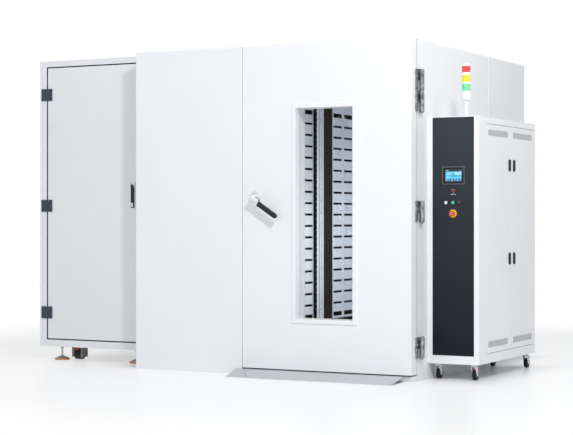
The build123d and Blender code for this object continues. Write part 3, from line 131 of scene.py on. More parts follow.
def new_material(name):
    """An empty node material, with its output and one principled shader joined."""
    material = bpy.data.materials.new(name)
    material.use_nodes = True
    tree = material.node_tree
    tree.nodes.clear()
    output = tree.nodes.new("ShaderNodeOutputMaterial")
    shader = tree.nodes.new("ShaderNodeBsdfPrincipled")
    tree.links.new(shader.outputs["BSDF"], output.inputs["Surface"])
    return material, tree, shader, output


def place_of(tree, stretch=(1, 1, 1)):
    """The place on the object, in metres, stretched for a grain that runs one way."""
    coordinates = tree.nodes.new("ShaderNodeTexCoord")
    mapping = tree.nodes.new("ShaderNodeMapping")
    mapping.inputs["Scale"].default_value = stretch
    tree.links.new(coordinates.outputs["Object"], mapping.inputs["Vector"])
    return mapping.outputs["Vector"]


def axes_of(tree):
    """The place on the object, in metres, split into X, Y and Z."""
    coordinates = tree.nodes.new("ShaderNodeTexCoord")
    split = tree.nodes.new("ShaderNodeSeparateXYZ")
    tree.links.new(coordinates.outputs["Object"], split.inputs["Vector"])
    return split.outputs


def noise(tree, place, scale, detail=BROAD_DETAIL):
    """Soft noise with that many waves in a metre."""
    node = tree.nodes.new("ShaderNodeTexNoise")
    node.inputs["Scale"].default_value = scale
    node.inputs["Detail"].default_value = detail
    tree.links.new(place, node.inputs["Vector"])
    return node.outputs["Fac"]


def map_range(tree, value, start, end, low=0.0, high=1.0, smooth=False):
    """A rise from low to high while the value goes from start to end."""
    node = tree.nodes.new("ShaderNodeMapRange")
    if smooth:
        node.interpolation_type = "SMOOTHSTEP"
    node.inputs["From Min"].default_value = start
    node.inputs["From Max"].default_value = end
    node.inputs["To Min"].default_value = low
    node.inputs["To Max"].default_value = high
    tree.links.new(value, node.inputs["Value"])
    return node.outputs["Result"]


def spread(tree, value, low, high):
    """Maps the useful middle of a noise onto a range."""
    return map_range(tree, value, *NOISE_RANGE, low, high)


def blend_colour(tree, mask, first, second):
    """first where the mask is 0, second where it is 1; each is a colour or a socket."""
    node = tree.nodes.new("ShaderNodeMix")
    node.data_type = "RGBA"
    tree.links.new(mask, node.inputs["Factor"])
    feed(tree, node.inputs[6], first)
    feed(tree, node.inputs[7], second)
    return node.outputs[2]


def blend_value(tree, mask, first, second):
    """A number that goes from first to second with the mask."""
    node = tree.nodes.new("ShaderNodeMix")
    tree.links.new(mask, node.inputs["Factor"])
    feed(tree, node.inputs[2], first)
    feed(tree, node.inputs[3], second)
    return node.outputs[0]


def blend_shader(tree, mask, first, second):
    """The first shader where the mask is 0, the second where it is 1."""
    node = tree.nodes.new("ShaderNodeMixShader")
    tree.links.new(mask, node.inputs["Fac"])
    tree.links.new(first, node.inputs[1])
    tree.links.new(second, node.inputs[2])
    return node.outputs["Shader"]


def arithmetic(tree, operation, *terms):
    """The result of a maths node; each term is a number or a socket."""
    node = tree.nodes.new("ShaderNodeMath")
    node.operation = operation
    for term, socket in zip(terms, node.inputs):
        feed(tree, socket, term)
    return node.outputs[0]


def between(tree, axis, low, high):
    """1 where the place along the axis is between low and high, in metres, else 0."""
    along = axes_of(tree)[axis]
    above = arithmetic(tree, "GREATER_THAN", along, low)
    below = arithmetic(tree, "LESS_THAN", along, high)
    return arithmetic(tree, "MULTIPLY", above, below)


def inside_box(tree, box):
    """1 inside a box whose sides are (low, high), or None where the box has no end, else 0."""
    sides = [between(tree, axis, *limits) for axis, limits in zip("XYZ", box) if limits]
    mask = sides[0]
    for side in sides[1:]:
        mask = arithmetic(tree, "MULTIPLY", mask, side)
    return mask


def zone(colour, roughness, x=None, y=None, z=None, metallic=0.0):
    """A part of a node with another finish, in metres; a side that isn't given has no end."""
    return (x, y, z), colour, metallic, roughness


def finish(
    name,
    colour,
    roughness,
    metallic=0.0,
    tone=0.03,
    tone_scale=1.6,
    grain_scale=500.0,
    grain=0.03,
    stretch=(1, 1, 1),
    coat=0.0,
    zones=(),
    mirror=0.5,
):
    """A surface with broad tone changes, uneven gloss and a fine grain, and zones of other colours."""
    material, tree, shader, _ = new_material(name)
    broad = noise(tree, place_of(tree), tone_scale)
    darker = tuple(channel * (1 - tone) for channel in colour)
    lighter = tuple(min(1.0, channel * (1 + tone)) for channel in colour)
    surface = blend_colour(tree, spread(tree, broad, 0.0, 1.0), darker, lighter)
    fine = noise(tree, place_of(tree, stretch), grain_scale, FINE_DETAIL)
    gloss = spread(tree, fine, roughness * (1 - GLOSS_SPREAD), roughness * (1 + GLOSS_SPREAD))
    metal = metallic
    for box, zone_colour, zone_metallic, zone_roughness in zones:
        mask = inside_box(tree, box)
        surface = blend_colour(tree, mask, surface, zone_colour)
        gloss = blend_value(tree, mask, gloss, zone_roughness)
        if zone_metallic != metallic:
            metal = blend_value(tree, mask, metal, zone_metallic)
    tree.links.new(surface, shader.inputs["Base Color"])
    tree.links.new(gloss, shader.inputs["Roughness"])
    feed(tree, shader.inputs["Metallic"], metal)
    shader.inputs["Coat Weight"].default_value = coat
    shader.inputs["Specular IOR Level"].default_value = mirror
    bump = tree.nodes.new("ShaderNodeBump")
    bump.inputs["Strength"].default_value = grain
    bump.inputs["Distance"].default_value = BUMP_DEPTH
    tree.links.new(fine, bump.inputs["Height"])
    tree.links.new(bump.outputs["Normal"], shader.inputs["Normal"])
    return material


def panel_finish():
    """The dark panel's sheet, which turns from dark grey at its top to near black at its foot: the lighter
    top is a painted reflection.
    """
    material = finish(
        "dark_panel", PANEL_LOW, 0.5, tone=0.08, grain=0.04, grain_scale=900.0, mirror=0.08
    )
    tree = material.node_tree
    shader = tree.nodes["Principled BSDF"]
    low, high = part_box("control_panel")
    height = map_range(tree, axes_of(tree)["Z"], low.z, high.z)
    plain = shader.inputs["Base Color"].links[0].from_socket
    # Painted reflection, blended in by height
    reflection_graded = blend_colour(tree, height, plain, PANEL_TOP_REFLECTION)
    tree.links.new(reflection_graded, shader.inputs["Base Color"])
    return material


def glazing():
    """Clear window glass: it lets the light through and mirrors more at a slant."""
    material, tree, shader, output = new_material("window_glass")
    clear = tree.nodes.new("ShaderNodeBsdfTransparent")
    feed(tree, clear.inputs["Color"], GLASS_CLEAR)
    feed(tree, shader.inputs["Base Color"], GLASS_DARK)
    smears = noise(tree, place_of(tree), SMEAR_SCALE)
    tree.links.new(spread(tree, smears, *SMEAR_GLOSS), shader.inputs["Roughness"])
    slant = tree.nodes.new("ShaderNodeLayerWeight")
    steep = arithmetic(tree, "POWER", slant.outputs["Facing"], GLASS_SLANT_POWER)
    share = arithmetic(tree, "MULTIPLY_ADD", steep, GLASS_SLANT_MIRROR, GLASS_PLAIN_MIRROR)
    glass = blend_shader(tree, share, clear.outputs["BSDF"], shader.outputs["BSDF"])
    tree.links.new(glass, output.inputs["Surface"])
    return material


def glow(name, colours, strength):
    """A lit surface whose colour wanders between two, under smooth glass."""
    material, tree, shader, _ = new_material(name)
    tone = spread(tree, noise(tree, place_of(tree), GLOW_SCALE), 0.0, 1.0)
    tree.links.new(blend_colour(tree, tone, *colours), shader.inputs["Emission Color"])
    shader.inputs["Emission Strength"].default_value = strength
    feed(tree, shader.inputs["Base Color"], UNLIT)
    shader.inputs["Roughness"].default_value = GLOW_ROUGHNESS
    return material


def repaint(material, *names):
    """Gives CAD nodes their finish."""
    for name in names:
        node = nodes[name]
        node.data.materials.clear()
        node.data.materials.append(material)


def nodes_named(start):
    """The CAD nodes whose names start so."""
    return [name for name in nodes if name.startswith(start)]


# Finishes that cover whole nodes
BRUSHED = {"metallic": 0.35, "tone": 0.06, "tone_scale": 5.0, "stretch": (1, 1, 0.03), "grain": 0.04}
paint = finish("white_paint", WHITE_PAINT, 0.5, tone=0.012, mirror=0.35)
cabinet_paint = finish("grey_paint", GREY_PAINT, 0.5, tone=0.015, mirror=0.35)
matt_steel = finish("matt_steel", MATT_STEEL, 0.5, **BRUSHED)
chrome = finish("chrome", CHROME, 0.12, metallic=1.0, tone=0.06, tone_scale=28.0, grain=0.01)
hinge_steel = finish(
    "hinge_steel", HINGE_STEEL, 0.2, metallic=1.0, tone=0.5, tone_scale=34.0, grain=0.02
)
slate = finish("slate_hinge", SLATE, 0.4, tone_scale=12.0, grain=0.06, mirror=0.2)
black_plastic = finish(
    "black_plastic", GRIP_BLACK, 0.42, tone_scale=25.0, grain=0.12, grain_scale=1500.0, mirror=0.2
)
white_plastic = finish("white_plastic", WHITE_PLASTIC, 0.3, tone_scale=20.0, grain=0.01)
rubber = finish("rubber", GASKET, 0.75, tone_scale=15.0, grain=0.15, mirror=0.1)
tread = finish("wheel_rubber", NEAR_BLACK, 0.55, tone_scale=25.0, grain=0.08, mirror=0.2)
zinc = finish("zinc", ZINC, 0.4, metallic=0.8, tone_scale=8.0, grain=0.04)
cast = finish("cast_paint", CAST, 0.6, tone_scale=10.0, grain=0.3, grain_scale=900.0)
bezel = finish("screen_bezel", BEZEL_BLACK, 0.4, tone_scale=20.0, grain=0.05, mirror=0.2)
black_paint = finish("black_paint", NEAR_BLACK, 0.35, tone_scale=8.0, grain=0.03)
condenser = finish("condenser_aluminium", ALUMINIUM, 0.4, metallic=0.9, tone_scale=12.0)

repaint(
    paint,
    "floor_base",
    "roof_panel",
    "left_wall",
    "right_wall",
    "back_wall",
    "front_wall",
    "control_casing",
    "door_slab",
    "window_frame",
)
repaint(cabinet_paint, "machine_casing", "machine_door")
repaint(finish("ramp_paint", RAMP_WHITE, 0.5, tone=0.03), "entry_ramp")
repaint(matt_steel, "duct_wall")
repaint(hinge_steel, "hinge_wall_leaves", "hinge_door_leaves")
repaint(chrome, "latch_body", "latch_lever", "machine_handle_pan")
repaint(slate, "machine_frame_leaves", "machine_door_leaves")
repaint(
    black_plastic,
    "latch_grip",
    "machine_handle_lever",
    "condenser_fan",
    "selector_switch",
    "temperature_limiter",
    *nodes_named("side_lock"),
)
repaint(rubber, "door_gasket")
repaint(tread, *nodes_named("caster_wheel"))
repaint(zinc, "latch_bolt", "mounting_plate", "fan_impeller")
repaint(cast, "fan_motor")
repaint(panel_finish(), "control_panel")
repaint(bezel, "hmi")
repaint(black_paint, "compressors")
repaint(condenser, "condenser_unit")
repaint(white_plastic, "stack_body")
repaint(glazing(), "window_panes")
repaint(finish("white_cap", CAP_WHITE, 0.25, tone_scale=60.0), "button_white")
repaint(finish("green_cap", CAP_GREEN, 0.25, tone_scale=60.0), "button_green")
repaint(finish("stop_red", STOP_RED, 0.28, tone_scale=40.0, coat=0.3), "emergency_stop")

# Nodes with more than one finish, told apart by where they lie; all sizes here are in metres
OUTSIDE = 2.0
ZONE_MARGIN = 0.01

# Liner: painted shade behind the duct wall
duct_back, duct_face = [corner.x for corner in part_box("duct_wall")]
shade_behind_duct = zone(DUCT_SHADE, 0.6, x=(-OUTSIDE, duct_back))
repaint(finish("liner_steel", MATT_STEEL, 0.5, zones=(shade_behind_duct,), **BRUSHED), "inner_liner")

# Switch collars: the emergency stop's, the lowest, is yellow
RING_MARGIN = 0.012
ring_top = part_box("emergency_stop")[1].z + RING_MARGIN
yellow_ring = zone(STOP_YELLOW, 0.35, z=(0.0, ring_top))
repaint(
    finish("switch_collar", COLLAR_STEEL, 0.25, metallic=1.0, tone_scale=60.0, zones=(yellow_ring,)),
    "switch_collars",
)

# Grooved post: brown back plates in the gaps on both its sides, and a black toothed rack beside it, its
# black partly painted shade on the post's shaded side
PLATES_SUNK = 0.0035
RACK_SUNK = 0.0045
FRONT_SHEET_END = -0.06
POST_SIDES = (-0.055, 0.073)
POST_CLEAR = 0.0001
REAR_SHEET_START = 0.299
PLATE_REACH = (0.06, 0.05)
plates_x = (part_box("shelf_posts")[0].x - ZONE_MARGIN, duct_face - PLATES_SUNK)
front_plate_y = (FRONT_SHEET_END - PLATE_REACH[0], POST_SIDES[0])
rear_plate_y = (POST_SIDES[1], REAR_SHEET_START + PLATE_REACH[1])
rack_x = (duct_face - RACK_SUNK, OUTSIDE)
rack_y = (FRONT_SHEET_END - ZONE_MARGIN, POST_SIDES[0] - POST_CLEAR)
post_zones = (
    zone(BAND_BROWN, 0.7, x=plates_x, y=front_plate_y),
    zone(BAND_BROWN, 0.7, x=plates_x, y=rear_plate_y),
    # Rack: partly its own black, partly painted shade on the side away from the light
    zone(RACK_BLACK_AND_SHADE, 0.6, x=rack_x, y=rack_y),
)
repaint(
    finish(
        "post_steel",
        MATT_STEEL,
        0.5,
        metallic=0.35,
        tone=0.05,
        tone_scale=5.0,
        zones=post_zones,
        mirror=0.2,
    ),
    "shelf_posts",
)

# Stack light: green below, amber in the middle, red at the top
AMBER_RISE = 0.058
RED_RISE = 0.124
lens_low, lens_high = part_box("stack_lenses")
amber_low = lens_low.z + AMBER_RISE
red_low = lens_low.z + RED_RISE
lens_zones = (
    zone(LENS_AMBER, 0.2, z=(amber_low, red_low)),
    zone(LENS_RED, 0.2, z=(red_low, lens_high.z + ZONE_MARGIN)),
)
repaint(
    finish("stack_lens", LENS_GREEN, 0.2, tone_scale=40.0, coat=0.4, zones=lens_zones),
    "stack_lenses",
)

# Coil: its refrigerant lines, beyond the end plate, are copper
LINES_X = (-1.6, -0.96)
copper_lines = zone(COPPER, 0.3, x=LINES_X, metallic=1.0)
repaint(
    finish("coil_aluminium", ALUMINIUM, 0.35, metallic=0.9, tone_scale=12.0, zones=(copper_lines,)),
    "evaporator_coil",
)

# Levelling feet: an orange ring, a grey cone and a pale collar at the top
RING_Z = (-0.01, 0.0122)
CONE_Z = (0.0122, 0.0338)
COLLAR_Z = (0.108, 0.13)
foot_zones = (
    zone(FOOT_ORANGE, 0.4, z=RING_Z),
    zone(FOOT_GREY, 0.45, z=CONE_Z),
    zone(WHITE_PLASTIC, 0.4, z=COLLAR_Z),
)
repaint(
    finish("foot_steel", ZINC, 0.3, metallic=0.9, tone_scale=30.0, zones=foot_zones),
    "levelling_feet",
)

# Caster forks: their brake pedals are red
PEDAL_LENGTH = 0.032
for name in nodes_named("caster_fork"):
    pedal_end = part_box(name)[1].y
    pedal = zone(PEDAL_RED, 0.4, y=(pedal_end - PEDAL_LENGTH, pedal_end + ZONE_MARGIN))
    repaint(finish(name + "_finish", FORK_GREY, 0.4, tone_scale=30.0, zones=(pedal,)), name)

# Side doors: painted shade in the slots of their vents
VENT_FLOOR = 0.0016
VENT_REACH = 0.1
VENT_INSET = 0.02
for name in ("side_door_front", "side_door_rear"):
    side_low, side_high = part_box(name)
    slot_depth = (side_low.x - VENT_FLOOR, side_high.x - VENT_FLOOR)
    slot_width = (side_low.y + VENT_INSET, side_high.y - VENT_INSET)
    slot_rows = ((side_low.z, side_low.z + VENT_REACH), (side_high.z - VENT_REACH, side_high.z))
    shade = tuple(zone(SLOT_SHADE, 0.6, slot_depth, slot_width, row) for row in slot_rows)
    repaint(finish(name + "_paint", WHITE_PAINT, 0.5, tone=0.012, zones=shade, mirror=0.35), name)

# Jack casters: grey housings with a dark wheel in each
HOUSING_HALF = 0.055
WHEEL_HALF = 0.032
WHEEL_TOP = 0.078
jack_ends = [corner.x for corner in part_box("machine_casters")]
wheel_zones = tuple(
    zone(CAST, 0.5, x=(middle - WHEEL_HALF, middle + WHEEL_HALF), z=(-ZONE_MARGIN, WHEEL_TOP))
    for middle in (jack_ends[0] + HOUSING_HALF, jack_ends[1] - HOUSING_HALF)
)
jack_housing = finish(
    "jack_housing",
    JACK_GREY,
    0.45,
    tone_scale=12.0,
    grain=0.1,
    grain_scale=900.0,
    zones=wheel_zones,
    mirror=0.3,
)
repaint(jack_housing, "machine_casters")

# Pieces that the scene adds to the CAD, each in mesh code and riding on its body
MM = 0.001
TO_FRONT = (0, -1, 0)
TO_RIGHT = (1, 0, 0)
SEGMENTS = {
    "0": "abcdef",
    "2": "abged",
    "3": "abgcd",
    "5": "afgcd",
    "8": "abcdefg",
}
DIGIT_WIDTH = 0.52
DIGIT_BAR = 0.13
DIGIT_PITCH = 1.42
DIGIT_EDGE = 0.04
DIGIT_PROUD = 0.15


def box_mm(name):
    """A node's lowest and highest corners at rest, in millimetres."""
    return [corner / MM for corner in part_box(name)]


def middle_of(low, high):
    """The point halfway between two corners."""
    return (low + high) / 2


def around(middle, half):
    """The span that reaches half to each side of its middle."""
    return middle - half, middle + half


def part_way(span, share):
    """The place at that share of a span."""
    return span[0] + share * (span[1] - span[0])


def on_circle(middle, radius, angle):
    """The (x, z) point of a circle round a middle."""
    return middle.x + radius * math.cos(angle), middle.z + radius * math.sin(angle)


def add_block(mesh, x, y, z, edge=0.0, index=0):
    """Adds a box with softened edges; each side is given as (low, high) in millimetres."""
    sides = [sorted((low * MM, high * MM)) for low, high in (x, y, z)]
    size = Matrix.Diagonal((*[high - low for low, high in sides], 1.0))
    middle = Matrix.Translation([(low + high) / 2 for low, high in sides])
    corners = bmesh.ops.create_cube(mesh, size=1.0, matrix=middle @ size)["verts"]
    for face in {face for corner in corners for face in corner.link_faces}:
        face.material_index = index
    if edge:
        edges = list({side for corner in corners for side in corner.link_edges})
        bmesh.ops.bevel(mesh, geom=edges, offset=edge * MM, segments=2, profile=0.5, affect="EDGES")


def add_turned(mesh, place, direction, profile, sides=24, index=0):
    """Adds a turned form: the profile is (radius, height) pairs in millimetres, from the place outwards."""
    turn = Vector(direction).to_track_quat("Z", "Y").to_matrix().to_4x4()
    move = Matrix.Translation(Vector(place) * MM) @ turn
    angles = [2 * math.pi * step / sides for step in range(sides)]
    rings = []
    for radius, height in profile:
        points = [Vector((radius * math.cos(a), radius * math.sin(a), height)) * MM for a in angles]
        rings.append([mesh.verts.new(move @ point) for point in points])
    faces = [mesh.faces.new(rings[0][::-1]), mesh.faces.new(rings[-1])]
    for lower, upper in zip(rings, rings[1:]):
        for step in range(sides):
            other = (step + 1) % sides
            faces.append(mesh.faces.new((lower[step], lower[other], upper[other], upper[step])))
    for face in faces:
        face.material_index = index


def add_plate(mesh, outline, y, thickness, index=0):
    """Adds a flat plate that faces -Y; the outline is (x, z) points in millimetres."""
    front = [mesh.verts.new(Vector((x, y - thickness, z)) * MM) for x, z in outline]
    behind = [mesh.verts.new(Vector((x, y, z)) * MM) for x, z in outline]
    faces = [mesh.faces.new(front), mesh.faces.new(behind[::-1])]
    for step in range(len(outline)):
        other = (step + 1) % len(outline)
        faces.append(mesh.faces.new((front[other], front[step], behind[step], behind[other])))
    for face in faces:
        face.material_index = index


def add_digits(mesh, digits, left, bottom, height, y, index=0):
    """Adds seven-segment digits, with a point after the second last."""
    width = DIGIT_WIDTH * height
    bar = DIGIT_BAR * height
    pitch = DIGIT_PITCH * width
    edge = DIGIT_EDGE * bar
    depth = (y - DIGIT_PROUD, y)
    half = height / 2
    spans = {
        "a": ((bar, width - bar), (height - bar, height)),
        "g": ((bar, width - bar), around(half, bar / 2)),
        "d": ((bar, width - bar), (0, bar)),
        "f": ((0, bar), (half, height - bar / 2)),
        "b": ((width - bar, width), (half, height - bar / 2)),
        "e": ((0, bar), (bar / 2, half)),
        "c": ((width - bar, width), (bar / 2, half)),
    }
    for place, digit in enumerate(digits):
        start = left + place * pitch
        for segment in SEGMENTS[digit]:
            segment_x, segment_z = spans[segment]
            span_x = (start + segment_x[0], start + segment_x[1])
            span_z = (bottom + segment_z[0], bottom + segment_z[1])
            add_block(mesh, span_x, depth, span_z, edge, index)
    point = left + (len(digits) - 1) * pitch - (pitch - width) / 2 - bar / 2
    add_block(mesh, (point, point + bar), depth, (bottom, bottom + bar), edge, index)


def new_piece(name, mesh, materials, body="root"):
    """Makes the finished mesh an object that rides on a body."""
    data = bpy.data.meshes.new(name)
    bmesh.ops.recalc_face_normals(mesh, faces=mesh.faces)
    mesh.to_mesh(data)
    mesh.free()
    for material in materials:
        data.materials.append(material)
    piece = bpy.data.objects.new(name, data)
    bpy.context.scene.collection.objects.link(piece)
    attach(piece, body)
    return piece


# Near black for the ramp's seam line, and painted shade in holes, slots, sockets and recesses
seam_black_and_recess_shade = finish("seam_black_and_recess_shade", MARK_AND_RECESS_SHADE_BLACK, 0.6, tone_scale=60.0, mirror=0.1)
screw_black = finish("screw_black", SCREW_BLACK, 0.35, tone_scale=60.0, mirror=0.3)
pale_key = finish("pale_key", KEY_TEAL, 0.45, tone_scale=60.0)
lever_red = finish("lever_red", PEDAL_RED, 0.4, tone_scale=40.0)
wire_steel = finish("wire_steel", WIRE_STEEL, 0.2, metallic=1.0, tone_scale=60.0)
device_grey = finish("device_grey", DEVICE_GREY, 0.5, tone_scale=30.0)
lever_blue = finish("lever_blue", DEVICE_BLUE, 0.4, tone_scale=40.0)
screen_deep = glow("screen_deep", LIT_DEEP, 0.8)
screen_bar = glow("screen_bar", LIT_BAR, 0.8)
screen_cyan = glow("screen_cyan", LIT_CYAN, 1.0)
screen_sky = glow("screen_sky", LIT_SKY, 1.0)
screen_white = glow("screen_white", LIT_WHITE, 1.0)
digit_orange = glow("digit_orange", LIT_ORANGE, 1.0)
digit_teal = glow("digit_teal", LIT_TEAL, 1.0)

# Touch screen picture, on its sunk glass: its colours come in the order of its materials
DEEP, BAR, CYAN, SKY, WHITE = range(5)
SCREEN_BORDER = 20.0
SCREEN_SUNK = 1.5
LAYER = 0.12
PICTURE_EDGE = 0.05
hmi_low, hmi_high = box_mm("hmi")
screen_x = (hmi_low.x + SCREEN_BORDER, hmi_high.x - SCREEN_BORDER)
screen_z = (hmi_low.z + SCREEN_BORDER, hmi_high.z - SCREEN_BORDER)
ground_y = (hmi_low.y + SCREEN_SUNK - LAYER, hmi_low.y + SCREEN_SUNK)
layer_y = (ground_y[0] - LAYER, ground_y[0])
mark_y = (layer_y[0] - LAYER, layer_y[0])
screen = bmesh.new()
add_block(screen, screen_x, ground_y, screen_z, 0.0, DEEP)

# The bar at the top, with its label and three dots
BAR_HEIGHT = 13.0
LABEL_X = (4.0, 26.0)
LABEL_Z = (5.0, 8.0)
DOTS = 3
DOT_PITCH = 6.0
DOT_PROFILE = ((1.6, 0), (1.5, LAYER))
bar_z = (screen_z[1] - BAR_HEIGHT, screen_z[1])
label_x = (screen_x[0] + LABEL_X[0], screen_x[0] + LABEL_X[1])
label_z = (bar_z[0] + LABEL_Z[0], bar_z[0] + LABEL_Z[1])
add_block(screen, screen_x, layer_y, bar_z, 0.0, BAR)
add_block(screen, label_x, mark_y, label_z, PICTURE_EDGE, WHITE)
for dot in range(DOTS):
    dot_place = (screen_x[1] - DOT_PITCH * (dot + 1), layer_y[0], bar_z[0] + BAR_HEIGHT / 2)
    add_turned(screen, dot_place, TO_FRONT, DOT_PROFILE, 16, SKY)

# The trend chart, with its lines and one curve
KEY_ROW = 16.0
CHART_HEIGHT = 24.0
TILE_GAP = 3.0
CHART_LINES = 4
LINE_HALF = 0.15
LINE_PROUD = 0.05
TREND_STEPS = 40
TREND_MIDDLE = 0.5
TREND_SWING = 0.32
TREND_WAVE = 9.0
TREND_FADE = 2.2
TREND_WIDTH = 1.1
TREND_PROUD = 0.1
chart_x = (screen_x[0] + TILE_GAP, screen_x[1] - TILE_GAP)
chart_z = (screen_z[0] + KEY_ROW, screen_z[0] + KEY_ROW + CHART_HEIGHT)
add_block(screen, chart_x, layer_y, chart_z, PICTURE_EDGE, CYAN)
for line in range(1, CHART_LINES):
    line_z = part_way(chart_z, line / CHART_LINES)
    add_block(screen, chart_x, (layer_y[0] - LINE_PROUD, layer_y[0]), around(line_z, LINE_HALF), 0.0, SKY)
trend = []
for step in range(TREND_STEPS + 1):
    along = step / TREND_STEPS
    wave = math.sin(TREND_WAVE * along) * math.exp(-TREND_FADE * along)
    trend.append((part_way(chart_x, along), part_way(chart_z, TREND_MIDDLE + TREND_SWING * wave)))
upper_side = [(x, z + TREND_WIDTH) for x, z in trend[::-1]]
add_plate(screen, trend + upper_side, layer_y[0], TREND_PROUD, WHITE)

# Two value tiles between the chart and the bar
DIGITS_IN = (9.0, 7.0)
DIGITS_HEIGHT = 15.0
TILE_DOT_IN = 8.0
TILE_DOT_PROFILE = ((2.4, 0), (2.3, LAYER))
tile_z = (chart_z[1] + TILE_GAP, bar_z[0] - TILE_GAP)
screen_middle = (screen_x[0] + screen_x[1]) / 2
TILES = (
    ((chart_x[0], screen_middle - TILE_GAP / 2), CYAN, "250"),
    ((screen_middle + TILE_GAP / 2, chart_x[1]), SKY, "500"),
)
for tile_x, tile_colour, value in TILES:
    add_block(screen, tile_x, layer_y, tile_z, PICTURE_EDGE, tile_colour)
    digits_place = (tile_x[0] + DIGITS_IN[0], tile_z[0] + DIGITS_IN[1])
    add_digits(screen, value, *digits_place, DIGITS_HEIGHT, layer_y[0], WHITE)
    dot_place = (tile_x[1] - TILE_DOT_IN, layer_y[0], tile_z[1] - TILE_DOT_IN)
    add_turned(screen, dot_place, TO_FRONT, TILE_DOT_PROFILE, 20, WHITE)

# A row of round keys at the foot
KEYS = 6
KEY_PROFILE = ((5.2, 0), (5.0, LAYER))
KEY_HEART_PROFILE = ((2.6, 0), (2.4, LAYER))
for key in range(KEYS):
    key_x = part_way(screen_x, (key + 0.5) / KEYS)
    key_z = screen_z[0] + KEY_ROW / 2
    add_turned(screen, (key_x, layer_y[1], key_z), TO_FRONT, KEY_PROFILE, 28, SKY if key % 2 else WHITE)
    add_turned(screen, (key_x, layer_y[0], key_z), TO_FRONT, KEY_HEART_PROFILE, 20, DEEP)
screen_colours = [screen_deep, screen_bar, screen_cyan, screen_sky, screen_white]
new_piece("screen_picture", screen, screen_colours)

# Pale trim round the touch screen's bezel
BEZEL_TRIM = 2.4
BEZEL_TRIM_PROUD = 0.8
BEZEL_TRIM_EDGE = 0.3
bezel_y = (hmi_low.y - BEZEL_TRIM_PROUD, hmi_low.y)
bezel_inner_x = (hmi_low.x + BEZEL_TRIM, hmi_high.x - BEZEL_TRIM)
bezel_inner_z = (hmi_low.z + BEZEL_TRIM, hmi_high.z - BEZEL_TRIM)
trim = bmesh.new()
for side_x in ((hmi_low.x, bezel_inner_x[0]), (bezel_inner_x[1], hmi_high.x)):
    add_block(trim, side_x, bezel_y, (hmi_low.z, hmi_high.z), BEZEL_TRIM_EDGE)
for side_z in ((hmi_low.z, bezel_inner_z[0]), (bezel_inner_z[1], hmi_high.z)):
    add_block(trim, bezel_inner_x, bezel_y, side_z, BEZEL_TRIM_EDGE)
new_piece("screen_trim", trim, [device_grey])

# Temperature limiter: two rows of digits behind its window and four dashes above, from its middle
UPPER_DIGITS = ("250", -14.0, 6.0, 11.0)
LOWER_DIGITS = ("85", -2.0, -4.0, 6.0)
DASHES = 4
FIRST_DASH = -15.0
DASH_PITCH = 8.5
DASH_LENGTH = 5.0
DASH_RISE = (20.5, 22.0)
DASH_PROUD = 0.1
limiter = middle_of(*box_mm("temperature_limiter"))
limiter_face = hmi_low.y
display = bmesh.new()
for index, (value, across, up, height) in enumerate((UPPER_DIGITS, LOWER_DIGITS)):
    digits_place = (limiter.x + across, limiter.z + up)
    add_digits(display, value, *digits_place, height, limiter_face + SCREEN_SUNK, index)
dash_y = (limiter_face - DASH_PROUD, limiter_face)
dash_z = (limiter.z + DASH_RISE[0], limiter.z + DASH_RISE[1])
for dash in range(DASHES):
    dash_x = limiter.x + FIRST_DASH + dash * DASH_PITCH
    add_block(display, (dash_x, dash_x + DASH_LENGTH), dash_y, dash_z, 0.0, 2)
new_piece("limiter_display", display, [digit_orange, digit_teal, white_plastic])

# Caps on the limiter's four keys
CAPS = 4
CAP_PITCH = 10.0
CAP_DROP = 16.0
CAP_HALF = (3.7, 2.9)
CAP_PROUD = (1.6, 1.0)
CAP_EDGE = 0.3
cap_y = (limiter_face - CAP_PROUD[0], limiter_face - CAP_PROUD[1])
caps = bmesh.new()
for cap in range(CAPS):
    cap_x = limiter.x + (cap - (CAPS - 1) / 2) * CAP_PITCH
    cap_spans = (around(cap_x, CAP_HALF[0]), cap_y, around(limiter.z - CAP_DROP, CAP_HALF[1]))
    add_block(caps, *cap_spans, CAP_EDGE)
new_piece("limiter_keys", caps, [pale_key])

# Selector: a white pointer along its finger bar
POINTER_HALF = 0.9
POINTER_FROM_TOP = (9.0, 2.0)
POINTER_PROUD = 0.15
POINTER_EDGE = 0.05
selector_low, selector_high = box_mm("selector_switch")
pointer = bmesh.new()
add_block(
    pointer,
    around(middle_of(selector_low, selector_high).x, POINTER_HALF),
    (selector_low.y - POINTER_PROUD, selector_low.y),
    (selector_high.z - POINTER_FROM_TOP[0], selector_high.z - POINTER_FROM_TOP[1]),
    POINTER_EDGE,
)
new_piece("selector_pointer", pointer, [white_plastic], "selector_switch")

# Emergency stop: three curved arrows on the head, with angles in degrees
ARROWS = 3
ARROW_START = 20
ARROW_SWEEP = 58
ARROW_TIP = 82
ARROW_RADII = (8.2, 10.2)
ARROW_HEAD_RADII = (12.2, 9.2, 6.2)
ARROW_STEPS = 10
ARROW_PROUD = 0.12
stop_low, stop_high = box_mm("emergency_stop")
stop_middle = middle_of(stop_low, stop_high)
arrows = bmesh.new()
for arrow in range(ARROWS):
    start = math.radians(360 / ARROWS * arrow + ARROW_START)
    angles = [start + math.radians(ARROW_SWEEP) * step / ARROW_STEPS for step in range(ARROW_STEPS + 1)]
    inner = [on_circle(stop_middle, ARROW_RADII[0], angle) for angle in angles]
    outer = [on_circle(stop_middle, ARROW_RADII[1], angle) for angle in angles]
    add_plate(arrows, outer + inner[::-1], stop_low.y, ARROW_PROUD)
    head_angles = (angles[-1], start + math.radians(ARROW_TIP), angles[-1])
    head = [on_circle(stop_middle, *corner) for corner in zip(ARROW_HEAD_RADII, head_angles)]
    add_plate(arrows, head, stop_low.y, ARROW_PROUD)
new_piece("stop_arrows", arrows, [white_plastic], "emergency_stop")
